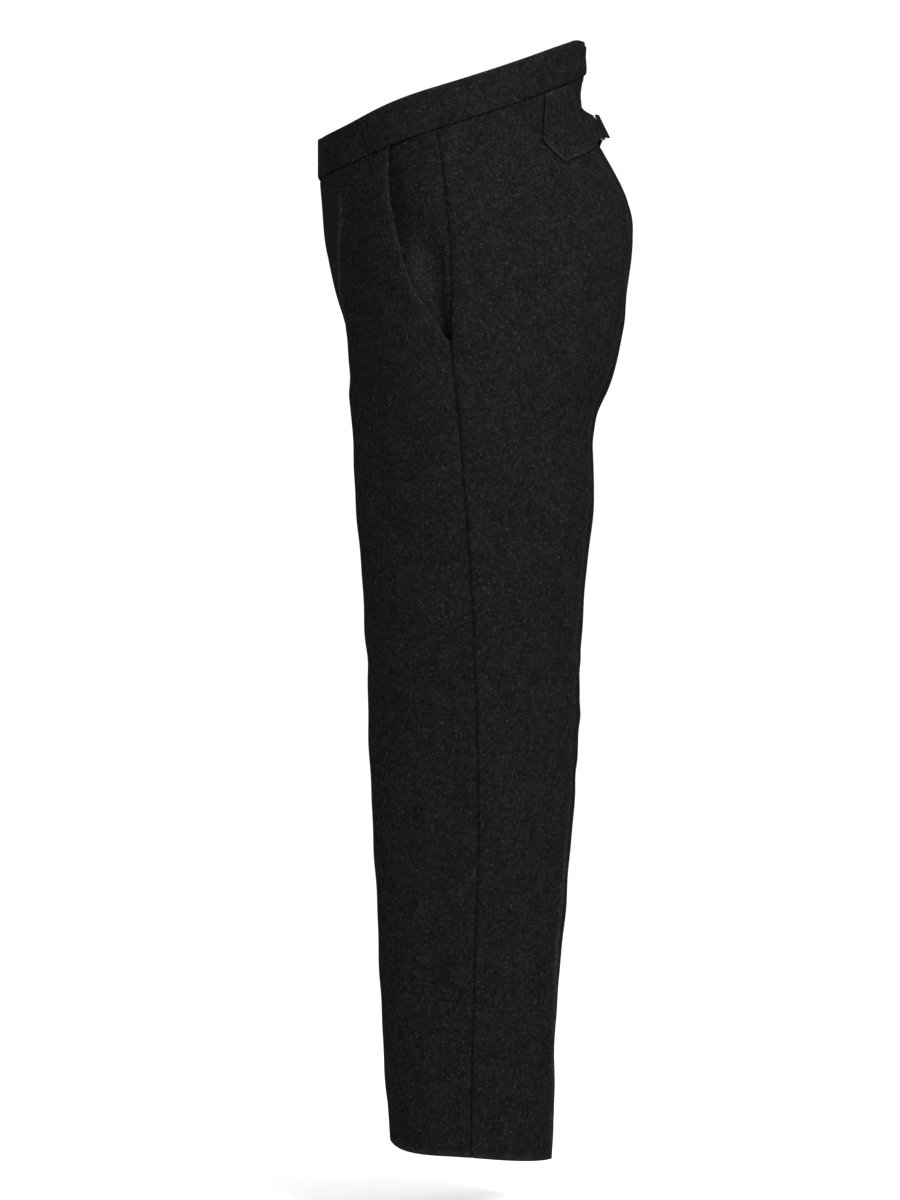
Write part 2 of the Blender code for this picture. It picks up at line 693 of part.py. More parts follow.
def buckle(material):
    """A wire ring with rounded corners, on the line between the two straps."""
    half_x = (BUCKLE_LENGTH - BUCKLE_WIRE) / 2 - BUCKLE_CORNER
    half_y = (BUCKLE_HEIGHT - BUCKLE_WIRE) / 2 - BUCKLE_CORNER
    points = []
    for corner, (sign_x, sign_y) in enumerate(((1, 1), (-1, 1), (-1, -1), (1, -1))):
        for step in range(BUCKLE_CORNER_STEPS + 1):
            angle = math.pi / 2 * (corner + step / BUCKLE_CORNER_STEPS)
            x = sign_x * half_x + BUCKLE_CORNER * math.cos(angle)
            y = sign_y * half_y + BUCKLE_CORNER * math.sin(angle)
            points.append((x, y, 0.0, 1.0))
    curve = bpy.data.curves.new("buckle", "CURVE")
    curve.dimensions = "3D"
    curve.bevel_depth = BUCKLE_WIRE / 2
    curve.bevel_resolution = 2
    path = curve.splines.new("POLY")
    path.points.add(len(points) - 1)
    path.points.foreach_set("co", [value for point in points for value in point])
    path.use_cyclic_u = True
    path.use_smooth = True
    ring = show("buckle", curve, material)
    _, out = buckle_frame()
    ring.location = BUCKLE_PLACE + out * BUCKLE_STAND_OFF
    ring.rotation_mode = "ZYX"
    ring.rotation_euler = (math.radians(90 + BUCKLE_LEAN), -math.radians(BUCKLE_TILT), 0)


def sided(name, side):
    return name + ("_left" if side > 0 else "_right")


def wall(name, outer, inner, side, material):
    """A closed wall of cloth between two grids of the left half, mirrored for the right one."""
    rows, columns = outer.shape[:2]
    points = np.concatenate([outer.reshape(-1, 3), inner.reshape(-1, 3)])
    points = points * np.array([side, 1, 1])
    front = np.arange(rows * columns).reshape(rows, columns)
    back = front + rows * columns
    rim = np.concatenate([front[0], front[1:, -1], front[-1, -2::-1], front[-2:0:-1, 0]])
    after = np.roll(rim, -1)
    quads = np.concatenate(
        [
            grid_quads(front),
            grid_quads(back)[:, ::-1],
            np.stack([rim, after, after + rows * columns, rim + rows * columns], axis=-1),
        ]
    )
    if side < 0:
        quads = quads[:, ::-1]
    mesh = bpy.data.meshes.new(name)
    mesh.from_pydata(points.tolist(), [], quads.tolist())
    mesh.shade_smooth()
    mesh.set_sharp_from_angle(angle=math.radians(40))
    show(name, mesh, material)


def grid_quads(index):
    """Quads of a grid of point numbers, whose rows run down and columns run back."""
    corners = [index[:-1, :-1], index[1:, :-1], index[1:, 1:], index[:-1, 1:]]
    return np.stack(corners, axis=-1).reshape(-1, 4)


def show(name, shape, material):
    """Adds a shape to the trousers' collection, with its material."""
    thing = bpy.data.objects.new(name, shape)
    shape.materials.append(material)
    bpy.data.collections[COLLECTION].objects.link(thing)
    return thing


def make_material(name, colour, roughness, metallic):
    material = bpy.data.materials.new(name)
    material.use_nodes = True
    shader = material.node_tree.nodes["Principled BSDF"]
    shader.inputs["Base Color"].default_value = colour
    shader.inputs["Roughness"].default_value = roughness
    shader.inputs["Metallic"].default_value = metallic
    return material


def main():
    for thing in list(bpy.data.objects):
        bpy.data.objects.remove(thing)
    bpy.context.scene.collection.children.link(bpy.data.collections.new(COLLECTION))
    wool = make_material("charcoal_wool", WOOL_COLOUR, WOOL_ROUGHNESS, 0.0)
    metal = make_material("blackened_metal", METAL_COLOUR, METAL_ROUGHNESS, 1.0)
    for side in (1, -1):
        front_panel(side, wool)
        back_panel(side, wool)
        pocket_facing(side, wool)
        waistband(side, wool)
        cinch_strap(side, wool)
    buckle(metal)


main()
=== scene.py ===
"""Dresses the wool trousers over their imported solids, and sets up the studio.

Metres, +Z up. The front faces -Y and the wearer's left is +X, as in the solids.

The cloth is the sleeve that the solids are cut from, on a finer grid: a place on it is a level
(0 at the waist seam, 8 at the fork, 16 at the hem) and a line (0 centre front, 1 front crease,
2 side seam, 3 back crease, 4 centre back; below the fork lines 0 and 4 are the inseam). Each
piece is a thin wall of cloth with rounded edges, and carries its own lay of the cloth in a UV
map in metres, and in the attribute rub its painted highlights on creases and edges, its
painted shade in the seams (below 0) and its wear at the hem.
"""

import math

import bpy
import numpy as np
from mathutils import Matrix, Vector


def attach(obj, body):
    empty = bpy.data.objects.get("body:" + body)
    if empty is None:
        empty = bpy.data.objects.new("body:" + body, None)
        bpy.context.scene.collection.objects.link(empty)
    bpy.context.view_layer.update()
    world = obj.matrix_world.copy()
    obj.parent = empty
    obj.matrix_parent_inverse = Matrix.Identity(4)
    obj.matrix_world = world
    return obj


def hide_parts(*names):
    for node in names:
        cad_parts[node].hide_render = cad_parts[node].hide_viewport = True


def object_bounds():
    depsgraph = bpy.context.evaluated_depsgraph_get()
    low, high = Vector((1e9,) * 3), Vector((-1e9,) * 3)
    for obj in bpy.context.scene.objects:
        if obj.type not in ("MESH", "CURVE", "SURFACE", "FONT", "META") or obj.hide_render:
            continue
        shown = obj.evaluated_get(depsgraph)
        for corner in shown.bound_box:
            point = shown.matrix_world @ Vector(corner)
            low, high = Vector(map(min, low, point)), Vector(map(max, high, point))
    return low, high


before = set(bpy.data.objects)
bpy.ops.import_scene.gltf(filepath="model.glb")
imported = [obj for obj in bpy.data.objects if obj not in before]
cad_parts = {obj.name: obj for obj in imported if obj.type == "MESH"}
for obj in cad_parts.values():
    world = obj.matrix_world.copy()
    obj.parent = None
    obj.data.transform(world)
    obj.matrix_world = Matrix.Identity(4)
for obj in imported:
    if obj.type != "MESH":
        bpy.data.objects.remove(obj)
solid_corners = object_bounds()

# Thickness of the cloth, gaps between pieces, and how far sewn pieces bite into each other
CLOTH = 0.002
BAND_CLOTH = 0.003
STRAP_CLOTH = 0.0022
SEAM_GAP = 0.0003
SEAM_BITE = 0.0001
LAYER_GAP = 0.0009
EDGE_ROUND = 0.00095
EDGE_STEPS = 3
EDGE_ANGLE = 50

# Grid of the pieces
ROW_STEP = 0.0035
QUARTER_STEPS = 28
FRONT_CROWDING = 1.3
FACING_STEPS = 22
BAND_ROWS = 14
STRAP_ROWS = 12
STRAP_STEP = 0.0020
FORK_LEVEL = 8
HEM_LEVEL = 16
NORMAL_STEP = 0.002


def table(names, rows):
    """Named columns from rows of numbers."""
    return dict(zip(names.split(), np.array(rows, float).T))


# The lines of the left half. Rows are levels, from the waist seam down.
SIDE_SEAM = table(
    "z x y",
    [
        (0.000, 0.1600, -0.0055),
        (-0.028, 0.1680, 0.0000),
        (-0.070, 0.1765, 0.0050),
        (-0.112, 0.1825, 0.0090),
        (-0.152, 0.1865, 0.0110),
        (-0.190, 0.1880, 0.0110),
        (-0.222, 0.1880, 0.0115),
        (-0.248, 0.1875, 0.0140),
        (-0.272, 0.1870, 0.0165),
        (-0.302, 0.1860, 0.0195),
        (-0.352, 0.1840, 0.0230),
        (-0.430, 0.1795, 0.0290),
        (-0.530, 0.1730, 0.0335),
        (-0.650, 0.1670, 0.0370),
        (-0.780, 0.1635, 0.0355),
        (-0.905, 0.1615, 0.0310),
        (-1.0295, 0.1600, 0.0295),
    ],
)

# turn: degrees between the cloth, where it passes the line, and straight across the body.
# ridge: degrees by which a pressed crease bends the cloth on each side of the line.
# peak: slope at which the hem falls away on each side of the crease.
FRONT_CREASE = table(
    "z x y turn ridge peak",
    [
        (-0.0325, 0.0980, -0.1085, 34, 0, 0),
        (-0.058, 0.0980, -0.1075, 31, 3, 0),
        (-0.090, 0.0960, -0.1085, 27, 6, 0),
        (-0.123, 0.0940, -0.1095, 20, 8, 0),
        (-0.158, 0.0925, -0.1070, 12, 9, 0),
        (-0.193, 0.0915, -0.1015, 5, 9, 0),
        (-0.222, 0.0915, -0.0990, 1, 9, 0),
        (-0.247, 0.0920, -0.0975, 0, 9, 0),
        (-0.270, 0.0925, -0.0965, 0, 10, 0),
        (-0.300, 0.0930, -0.0950, 0, 11, 0),
        (-0.350, 0.0935, -0.0930, 0, 12, 0),
        (-0.428, 0.0945, -0.0870, 0, 14, 0),
        (-0.528, 0.0960, -0.0800, 0, 16, 0),
        (-0.647, 0.0980, -0.0763, 0, 18, 0),
        (-0.776, 0.0980, -0.0700, 0, 18, 0),
        (-0.899, 0.0980, -0.0642, 0, 18, 0),
        (-1.0205, 0.0980, -0.0560, 0, 18, 0.34),
    ],
)

BACK_CREASE = table(
    "z x y turn ridge",
    [
        (0.057, 0.0660, 0.1260, 22, 0),
        (0.018, 0.0650, 0.1340, 17, 0),
        (-0.025, 0.0660, 0.1610, 11, 0),
        (-0.076, 0.0680, 0.1860, 4, 0),
        (-0.128, 0.0700, 0.1865, 0, 0),
        (-0.178, 0.0720, 0.1800, 0, 1),
        (-0.218, 0.0750, 0.1730, 0, 2),
        (-0.249, 0.0780, 0.1635, 0, 3),
        (-0.274, 0.0820, 0.1520, 0, 4),
        (-0.304, 0.0840, 0.1475, 0, 5),
        (-0.354, 0.0870, 0.1485, 0, 8),
        (-0.433, 0.0910, 0.1415, 0, 11),
        (-0.534, 0.0950, 0.1340, 0, 14),
        (-0.656, 0.0980, 0.1295, 0, 17),
        (-0.787, 0.0980, 0.1190, 0, 18),
        (-0.913, 0.0980, 0.1095, 0, 18),
        (-1.0380, 0.0980, 0.1050, 0, 18),
    ],
)

# turn: degrees by which the cloth folds in towards the middle plane. climb: its height's slope.
CENTRE_FRONT = table(
    "z y turn climb",
    [
        (-0.034, -0.1335, 0, 0),
        (-0.060, -0.1315, 0, 0),
        (-0.092, -0.1285, 0, 0),
        (-0.126, -0.1230, 0, 0),
        (-0.161, -0.1140, 4, 0),
        (-0.196, -0.0990, 14, 0),
        (-0.226, -0.0730, 34, 0),
        (-0.248, -0.0340, 62, 0),
        (-0.262, 0.0280, 90, 0),
    ],
)

CENTRE_BACK = table(
    "z y turn climb",
    [
        (0.074, 0.1380, 0, 0.27),
        (0.033, 0.1385, 0, 0.20),
        (-0.018, 0.1645, 0, 0.10),
        (-0.074, 0.1875, 0, 0),
        (-0.130, 0.1830, 5, 0),
        (-0.180, 0.1680, 13, 0),
        (-0.220, 0.1430, 30, 0),
        (-0.248, 0.0970, 60, 0),
        (-0.262, 0.0280, 90, 0),
    ],
)

# Rows are levels from the fork down
INSEAM = table(
    "z x y",
    [
        (-0.262, 0.0000, 0.0280),
        (-0.298, 0.0095, 0.0270),
        (-0.350, 0.0135, 0.0260),
        (-0.430, 0.0180, 0.0260),
        (-0.530, 0.0235, 0.0280),
        (-0.650, 0.0280, 0.0300),
        (-0.780, 0.0315, 0.0300),
        (-0.905, 0.0340, 0.0280),
        (-1.0295, 0.0370, 0.0270),
    ],
)

# Soft folds of the outer side, each along a line in the side view: how far the cloth moves
# out (in, below 0), half the fold's width, and the share of it that the right half has
FOLDS = table(
    "y_from z_from y_to z_to depth width right",
    [
        (0.085, -0.265, 0.142, -0.325, -0.0050, 0.022, 0.9),
        (0.066, -0.172, 0.124, -0.140, -0.0030, 0.016, 0.6),
        (0.080, -0.200, 0.128, -0.166, 0.0025, 0.016, 1.2),
        (0.050, -0.330, 0.120, -0.390, 0.0025, 0.020, 0.7),
        (-0.004, -0.700, -0.014, -0.890, -0.0030, 0.017, 0.6),
        (0.028, -0.540, 0.034, -0.660, 0.0020, 0.018, 1.2),
        (0.085, -0.560, 0.128, -0.535, -0.0025, 0.012, 0.7),
        (0.080, -0.655, 0.124, -0.640, -0.0020, 0.012, 1.1),
        (-0.070, -0.330, -0.045, -0.420, -0.0022, 0.018, 0.8),
    ],
)

# Finer creases, each from one place on the cloth to another: how far the cloth moves out (in,
# below 0), half the crease's width, and the shares of it that the left and right halves have
CREASES = table(
    "line_from z_from line_to z_to depth width left right",
    [
        (0.15, -0.236, 0.95, -0.196, 0.0014, 0.008, 1.0, 0.8),
        (0.20, -0.256, 1.05, -0.262, 0.0016, 0.010, 0.9, 1.1),
        (0.10, -0.205, 0.60, -0.150, 0.0010, 0.007, 1.0, 0.6),
        (0.25, -0.285, 0.90, -0.335, 0.0011, 0.011, 0.7, 1.0),
        (3.85, -0.236, 3.10, -0.182, 0.0013, 0.009, 1.0, 0.9),
        (3.75, -0.262, 2.95, -0.292, 0.0019, 0.011, 1.0, 0.8),
        (3.80, -0.288, 3.15, -0.338, 0.0013, 0.010, 0.8, 1.1),
        (3.88, -0.005, 3.80, -0.062, 0.0012, 0.0065, 1.0, 0.8),
        (3.68, -0.020, 3.62, -0.085, 0.0010, 0.0075, 0.8, 1.2),
        (3.45, -0.036, 3.40, -0.078, -0.0007, 0.008, 1.0, 0.9),
        (3.55, -0.548, 2.72, -0.528, 0.0012, 0.009, 1.0, 0.7),
        (3.60, -0.585, 2.85, -0.596, 0.0015, 0.011, 0.8, 1.1),
        (3.40, -0.628, 2.70, -0.650, 0.0009, 0.010, 1.0, 0.9),
        (0.55, -0.520, 1.35, -0.542, -0.0009, 0.014, 1.0, 0.8),
        (1.30, -0.425, 1.75, -0.490, 0.0008, 0.014, 1.0, 0.6),
        (1.45, -0.640, 1.60, -0.840, -0.0011, 0.020, 1.0, 0.7),
        (2.45, -0.700, 2.40, -0.900, 0.0009, 0.018, 0.9, 1.1),
        (2.40, -0.300, 2.55, -0.370, 0.0009, 0.016, 1.0, 0.7),
        (1.30, -0.965, 1.75, -0.925, 0.0007, 0.013, 1.0, 1.0),
        (2.30, -0.935, 2.75, -0.985, -0.0008, 0.012, 1.0, 0.8),
        (0.45, -0.760, 0.60, -0.930, 0.0009, 0.016, 0.7, 1.0),
        (3.50, -0.780, 3.45, -0.960, -0.0009, 0.015, 1.0, 0.8),
        (0.35, -0.050, 0.30, -0.110, 0.0006, 0.010, 0.8, 1.0),
        (1.10, -0.045, 1.05, -0.100, -0.0006, 0.009, 1.0, 0.9),
        (1.15, -0.240, 1.95, -0.236, -0.0007, 0.005, 1.0, 0.8),
    ],
)

# Length of cloth from one of the five lines to the next, at the hip
LINE_LENGTH = 0.105

# Slow waves of the whole cloth: their heights, and their numbers of radians a metre
WAVES = table(
    "height by_x by_y by_z",
    [
        (0.00045, 31, 47, 58),
        (0.00035, -52, 83, 21),
        (0.00025, 97, -38, 109),
    ],
)

# Pressed seams: the allowances inside lift the cloth beside the seam, and the stitches dip it
SEAM_ALLOWANCE = 0.013
SEAM_LIFT = 0.00035
SEAM_DIP = 0.0010
SEAM_DIP_WIDTH = 0.0017
SEAM_STEPS = np.array([0.0012, 0.0028])
PUCKER = 0.00022
PUCKER_PITCH = 0.017
HEM_TURN_UP = 0.038
HEM_DIP = 0.00018
HEM_DIP_WIDTH = 0.003
TURN_UP_CLOTH = 0.0016

# The back creases don't hang alike: how far each one stands back near the hem
LEFT_SWAY = 0.0040
RIGHT_SWAY = -0.0020
SWAY_LEVELS = (13.9, 15.6)

# The slanted pocket's opening in the side view, from the side seam up to the waist seam
POCKET_LINE = table(
    "z y",
    [
        (-0.235, 0.0150),
        (-0.215, 0.0095),
        (-0.206, 0.0025),
        (-0.189, -0.0085),
        (-0.173, -0.0190),
        (-0.153, -0.0300),
        (-0.131, -0.0375),
        (-0.111, -0.0420),
        (-0.090, -0.0465),
        (-0.068, -0.0515),
        (-0.045, -0.0535),
        (0.000, -0.0545),
    ],
)
POCKET_END_Z = -0.215
POCKET_GAPE = 0.0045

# The pocket's facing: it runs under the front's edge and sinks in the pocket's mouth and in a
# hollow behind it, and where it is sunk at the waist its top row is tucked up inside the band
FACING_DEPTH = CLOTH + LAYER_GAP
FACING_UNDERLAP = 0.12
FACING_SINK = (0.72, 0.92)
POCKET_HOLLOW = 0.0090
HOLLOW_SHARES = (0.36, 0.64)
POCKET_MOUTH = 0.0035
POCKET_MOUTH_WIDTH = 0.10
TUCK_FROM = (0.0001, 0.0008)
TUCK_DEPTH = 0.0027
TUCK_RISE = 0.004

# The left front laps over the right one to cover the fly, and joins it in a seam below
FLY_LAP = 0.006
FLY_RISE = CLOTH + SEAM_GAP
FLY_FLAT = 0.009
FLY_BLEND = 0.040
FLY_LAP_END = (4.4, 4.85)
FLY_RISE_END = (4.95, 5.7)

# Waistband: heights at every half line from the centre front to the centre back
BAND_HEIGHTS = np.array([0.042, 0.0405, 0.0405, 0.043, 0.043, 0.0425, 0.042, 0.0395, 0.032])
BAND_PROUD = 0.0008
BAND_LAP_STEPS = 12
BAND_LAP_RISE = BAND_CLOTH + SEAM_GAP
BAND_LAP_BLEND = 0.040
NOTCH_HALF_WIDTH = 0.015
LEFT_FLARE = 0.0010
RIGHT_FLARE = 0.0040

# Cinch straps: lines across them, each from the top edge to the bottom one, by distance from
# the middle plane and height
STRAP_EDGES = table(
    "top_x top_z bottom_x bottom_z",
    [
        (0.1083, 0.0600, 0.1307, -0.0097),
        (0.1060, 0.0600, 0.1298, -0.0170),
        (0.1035, 0.0600, 0.1287, -0.0242),
        (0.1010, 0.0600, 0.1275, -0.0314),
        (0.0950, 0.0600, 0.1180, -0.0270),
        (0.0880, 0.0600, 0.1070, -0.0228),
        (0.0800, 0.0600, 0.0905, -0.0174),
        (0.0700, 0.0500, 0.0745, -0.0123),
        (0.0580, 0.0400, 0.0580, -0.0080),
        (0.0460, 0.0320, 0.0460, -0.0025),
        (0.0340, 0.0285, 0.0340, 0.0015),
        (0.0240, 0.0265, 0.0240, 0.0040),
    ],
)
STRAP_EDGE_BEND = 1.35
STRAP_SEAM_GAP = 0.0012
STRAP_REST = STRAP_CLOTH / 2 + 0.0008
STRAP_LEAVES_BODY = (0.058, 0.024)
STRAP_WIDTH = 0.0265
TURN_WIDTH = 0.0213
LEFT_STRAP_LIFT = -0.0015
RIGHT_STRAP_LIFT = 0.0025
FREE_END_X = (0.0150, 0.0320)
FREE_END_RISE = 0.0030
STRAP_BEFORE_TURN = (0.0240, 0.0170)
STRAP_AFTER_TURN = (0.0170, 0.0220)
TURN_STEPS = 16

# Buckle: a wire ring over the small of the back. It leans with the back, and its right side
# is pulled out by the strap that turns round it.
BUCKLE_LENGTH = 0.0250
BUCKLE_HEIGHT = 0.0268
BUCKLE_WIRE = 0.0024
BUCKLE_CORNER = 0.0014
BUCKLE_CORNER_STEPS = 12
BUCKLE_SIDES = 24
BUCKLE_PLACE = np.array([0.0, 0.1468, 0.0148])
BUCKLE_LEAN = 26
BUCKLE_TILT = 12
BUCKLE_STAND_OFF = 0.0072
BAR_X = (BUCKLE_LENGTH - BUCKLE_WIRE) / 2
BAR_REACH = BUCKLE_WIRE / 2 + SEAM_GAP + STRAP_CLOTH / 2

# Painted highlights along the creases and the pocket's mouth, painted highlight and wear along
# the band's and straps' edges, and wear at the hem: how much lighter each is painted, from 0 to
# 1, and where. The front crease's painted highlight is fainter from the seat down, and the back
# one's stronger near the hem.
FRONT_HIGHLIGHT_WIDTH = 0.035
FRONT_HIGHLIGHT_FADE = 0.65
FRONT_FADE_LEVELS = (4, 7)
BACK_HIGHLIGHT_LINE = 2.97
BACK_HIGHLIGHT_WIDTH = 0.045
BACK_HIGHLIGHT_ABOVE = 0.35
BACK_HIGHLIGHT_LEVELS = (13, 14)
HEM_RUB = 0.6
HEM_RUB_LEVELS = 0.07
MOUTH_HIGHLIGHT = 0.45
MOUTH_HIGHLIGHT_WIDTH = 0.03
EDGE_HIGHLIGHT_AND_WEAR = 0.5
BAND_EDGE_LIGHT_WIDTH = 0.06
STRAP_EDGE_LIGHT_WIDTH = 0.05

# A painted highlight on a patch of the facing beside the pocket's edge: how much lighter it is,
# its distance from the edge in lines, its height, and its widths in both
FACING_HIGHLIGHT = 0.5
FACING_HIGHLIGHT_LINE = 0.05
FACING_HIGHLIGHT_ACROSS = 0.08
FACING_HIGHLIGHT_Z = -0.140
FACING_HIGHLIGHT_DOWN = 0.024

# Cloth: greys of its blended fibres and its flecks, how much painted highlights and the hem's
# wear lighten it and painted shade darkens its seams, the twill and the nap
WOOL_GREYS = [(0.12, 0.0027), (0.50, 0.0056), (0.88, 0.0104)]
WOOL_TINT = 1.01
FLECK_GREY = 0.0175
HIGHLIGHT_AND_WEAR_LIGHTENS = 2.1
SEAM_SHADE_DARKENS = 0.50
SEAM_SHADE_WIDTH = 0.0009
TWILL_PITCH = 0.0011
TWILL_TURN = 60
TWILL_WOBBLE = 1.5
NAP_HEIGHT = 0.0005
NAP_STRENGTH = 0.6
WOOL_ROUGHNESS = 0.95
WOOL_SHEEN = 0.0025
WOOL_SHEEN_ROUGHNESS = 0.3

# Noise of the cloth: its lumps a metre, detail and distortion. Each mix gives its parts' shares.
CLUMPS = (240, 3, 0.3)
FIBRES = (760, 2, 0.5)
CLOUDS = (65, 2, 0.4)
FLECKS = (430, 1, 0.6)
FLECK_FROM = 0.88
MELANGE_SHARES = (0.42, 0.40, 0.18)
NAP_SHARES = (0.45, 0.40, 0.15)

# Blackened wire: noise of its wear, its two colours, and how its gloss and relief vary
WIRE_WEAR = (420, 3, 0.5)
WIRE_DARK = (0.016, 0.016, 0.017, 1)
WIRE_WORN = (0.060, 0.058, 0.056, 1)
WIRE_ROUGHNESS = (0.26, 0.44)
WIRE_RELIEF = 0.0001
WIRE_RELIEF_STRENGTH = 0.15

# Studio. The camera is that of the photograph.
CAMERA_TURN = 3
CAMERA_DISTANCE = 4.2
CAMERA_HEIGHT = -0.4713
CAMERA_LENS = 121.15
CAMERA_SENSOR = 36
MIDDLE = (0, 0, -0.2)
WORLD_STRENGTH = 1.10
SOFT_BOXES = [
    ("side_box", (1.55, 1.05, 0.95), 1.0, 62),
    ("flat_box", (2.4, -0.4, -0.2), 1.2, 6),
]
FLOOR_COLOUR = (1.0, 1.0, 1.0, 1)
FLOOR_ROUGHNESS = 0.9
FLOOR_REACH = 4.0
FLOOR_BELOW_HEM = 0.075


def spline(values, at):
    """A natural cubic spline through values at 0, 1, 2 and so on, read at each place in at."""
    count = len(values)
    system = np.eye(count)
    right = np.zeros(count)
    for i in range(1, count - 1):
        system[i, i - 1 : i + 2] = (1, 4, 1)
        right[i] = 6 * (values[i - 1] - 2 * values[i] + values[i + 1])
    bend = np.linalg.solve(system, right)
    i = np.clip(np.floor(at).astype(int), 0, count - 2)
    t = at - i
    s = 1 - t
    curve = ((s**3 - s) * bend[i] + (t**3 - t) * bend[i + 1]) / 6
    return s * values[i] + t * values[i + 1] + curve


def smooth(value, low, high):
    """0 at low, 1 at high, and a smooth step between."""
    t = np.clip((value - low) / (high - low), 0, 1)
    return t * t * (3 - 2 * t)


def ridge(distance, width):
    """1 on a line and fading to 0 on both sides of it: exp(-(distance / width)^2)."""
    return np.exp(-((distance / width) ** 2))


def unit(vectors):
    """Vectors of length 1 in the same directions."""
    return vectors / np.linalg.norm(vectors, axis=-1, keepdims=True)


def heading(degrees, across, along):
    """Plan directions turned by some degrees from across the body towards along it."""
    angle = np.radians(degrees)
    return np.stack([across * np.cos(angle), along * np.sin(angle)], axis=-1)


def edge_line(rise, level):
    """The inner edge of a half: the centre seam down to the fork, and then the inseam."""
    above = np.minimum(level, FORK_LEVEL)
    below = np.maximum(level - FORK_LEVEL, 0)
    on_leg = level > FORK_LEVEL
    return {
        "x": np.where(on_leg, spline(INSEAM["x"], below), 0.0),
        "y": np.where(on_leg, spline(INSEAM["y"], below), spline(rise["y"], above)),
        "z": np.where(on_leg, spline(INSEAM["z"], below), spline(rise["z"], above)),
        "turn": np.where(on_leg, 90.0, spline(rise["turn"], above)),
        "climb": np.where(on_leg, 0.0, spline(rise["climb"], above)),
    }


def lines_at(level):
    """The five lines' plan points and heights, and each quarter's directions and slopes."""
    front = edge_line(CENTRE_FRONT, level)
    back = edge_line(CENTRE_BACK, level)
    crease = {name: spline(values, level) for name, values in FRONT_CREASE.items()}
    seat = {name: spline(values, level) for name, values in BACK_CREASE.items()}
    side = {name: spline(values, level) for name, values in SIDE_SEAM.items()}
    lines = (front, crease, side, seat, back)
    knots = np.stack([np.stack([line["x"], line["y"]], -1) for line in lines], axis=1)
    heights = np.stack([line["z"] for line in lines], axis=1)
    straight_back = np.broadcast_to(np.array([0.0, 1.0]), front["x"].shape + (2,))
    leaving = np.stack(
        [
            heading(front["turn"], 1, -1),
            heading(crease["turn"] + crease["ridge"], 1, 1),
            straight_back,
            heading(seat["turn"] - seat["ridge"], -1, 1),
        ],
        axis=1,
    )
    arriving = np.stack(
        [
            heading(crease["turn"] - crease["ridge"], 1, 1),
            straight_back,
            heading(seat["turn"] + seat["ridge"], -1, 1),
            heading(back["turn"], -1, -1),
        ],
        axis=1,
    )
    chords = knots[:, 1:] - knots[:, :-1]
    steps = np.diff(heights, axis=1) / np.linalg.norm(chords, axis=2)
    slopes = np.column_stack([front["climb"], (steps[:, :-1] + steps[:, 1:]) / 2, back["climb"]])
    slopes_before, slopes_after = slopes[:, 1:].copy(), slopes[:, :-1].copy()
    slopes_before[:, 0] += crease["peak"]
    slopes_after[:, 1] -= crease["peak"]
    return knots, leaving, arriving, heights, slopes_after, slopes_before


def smooth_cloth(level, line):
    """Points of the left half before its folds, at each level and line.

    Between two lines a section is a cubic in plan whose handles would draw an ellipse's arc,
    and its height is a cubic with the lines' slopes.
    """
    shape = line.shape
    level, line = level.reshape(-1), line.reshape(-1)
    knots, leaving, arriving, heights, slopes_after, slopes_before = lines_at(level)
    rows = np.arange(len(line))
    i = np.clip(np.floor(line).astype(int), 0, 3)
    start, end = knots[rows, i], knots[rows, i + 1]
    leave, arrive = leaving[rows, i], arriving[rows, i]
    chord = end - start
    turn = np.arccos(np.clip((leave * arrive).sum(1), -1, 1))
    share = 1 / (3 * np.cos(turn / 4) ** 2 * np.cos(turn / 2))
    first = start + leave * (share * (chord * leave).sum(1))[:, None]
    second = end - arrive * (share * (chord * arrive).sum(1))[:, None]
    t = (line - i)[:, None]
    s = 1 - t
    plan = s**3 * start + 3 * s**2 * t * first + 3 * s * t**2 * second + t**3 * end
    length = np.linalg.norm(chord, axis=1)
    t, s = t[:, 0], s[:, 0]
    height = (
        (1 + 2 * t) * s**2 * heights[rows, i]
        + t * s**2 * slopes_after[rows, i] * length
        + t**2 * (3 - 2 * t) * heights[rows, i + 1]
        - t**2 * s * slopes_before[rows, i] * length
    )
    return np.column_stack([plan, height]).reshape(shape + (3,))


def outward(level, line):
    """Outward directions square to the smooth cloth, but level along the waist seam."""
    top = np.where(level > FORK_LEVEL, FORK_LEVEL + 1e-6, 0.0)
    foot = np.where(level > FORK_LEVEL, float(HEM_LEVEL), float(FORK_LEVEL))
    higher = np.maximum(level - NORMAL_STEP, top)
    lower = np.minimum(level + NORMAL_STEP, foot)
    before = np.maximum(line - NORMAL_STEP, 0)
    after = np.minimum(line + NORMAL_STEP, 4)
    down = smooth_cloth(lower, line) - smooth_cloth(higher, line)
    along = smooth_cloth(level, after) - smooth_cloth(level, before)
    normal = np.cross(down, along)
    normal[level < 1e-9, 2] = 0
    normal = unit(normal)
    on_middle = (line < 1e-9) | (line > 4 - 1e-9)
    near_fork = (level > FORK_LEVEL - 0.8) & (level <= FORK_LEVEL)
    normal[on_middle & near_fork] = (0, 0, -1)
    return normal


def fold_depth(points, line, side):
    """How far the soft folds move each point of the outer side out of the smooth cloth.

    A fold is a ridge exp(-(distance / width)^2) along its line, faded past both ends.
    """
    total = np.zeros(line.shape)
    for y0, z0, y1, z1, depth, width, right in zip(*FOLDS.values()):
        span = math.hypot(y1 - y0, z1 - z0)
        along_y, along_z = (y1 - y0) / span, (z1 - z0) / span
        y, z = points[..., 1] - y0, points[..., 2] - z0
        along = (y * along_y + z * along_z) / span
        across = (z * along_y - y * along_z) / width
        fade = smooth(along, -0.45, 0.35) * (1 - smooth(along, 0.65, 1.45))
        share = 1.0 if side > 0 else right
        total += share * depth * fade * np.exp(-(across**2))
    return total * smooth(line, 0.9, 1.35) * (1 - smooth(line, 2.65, 3.1))


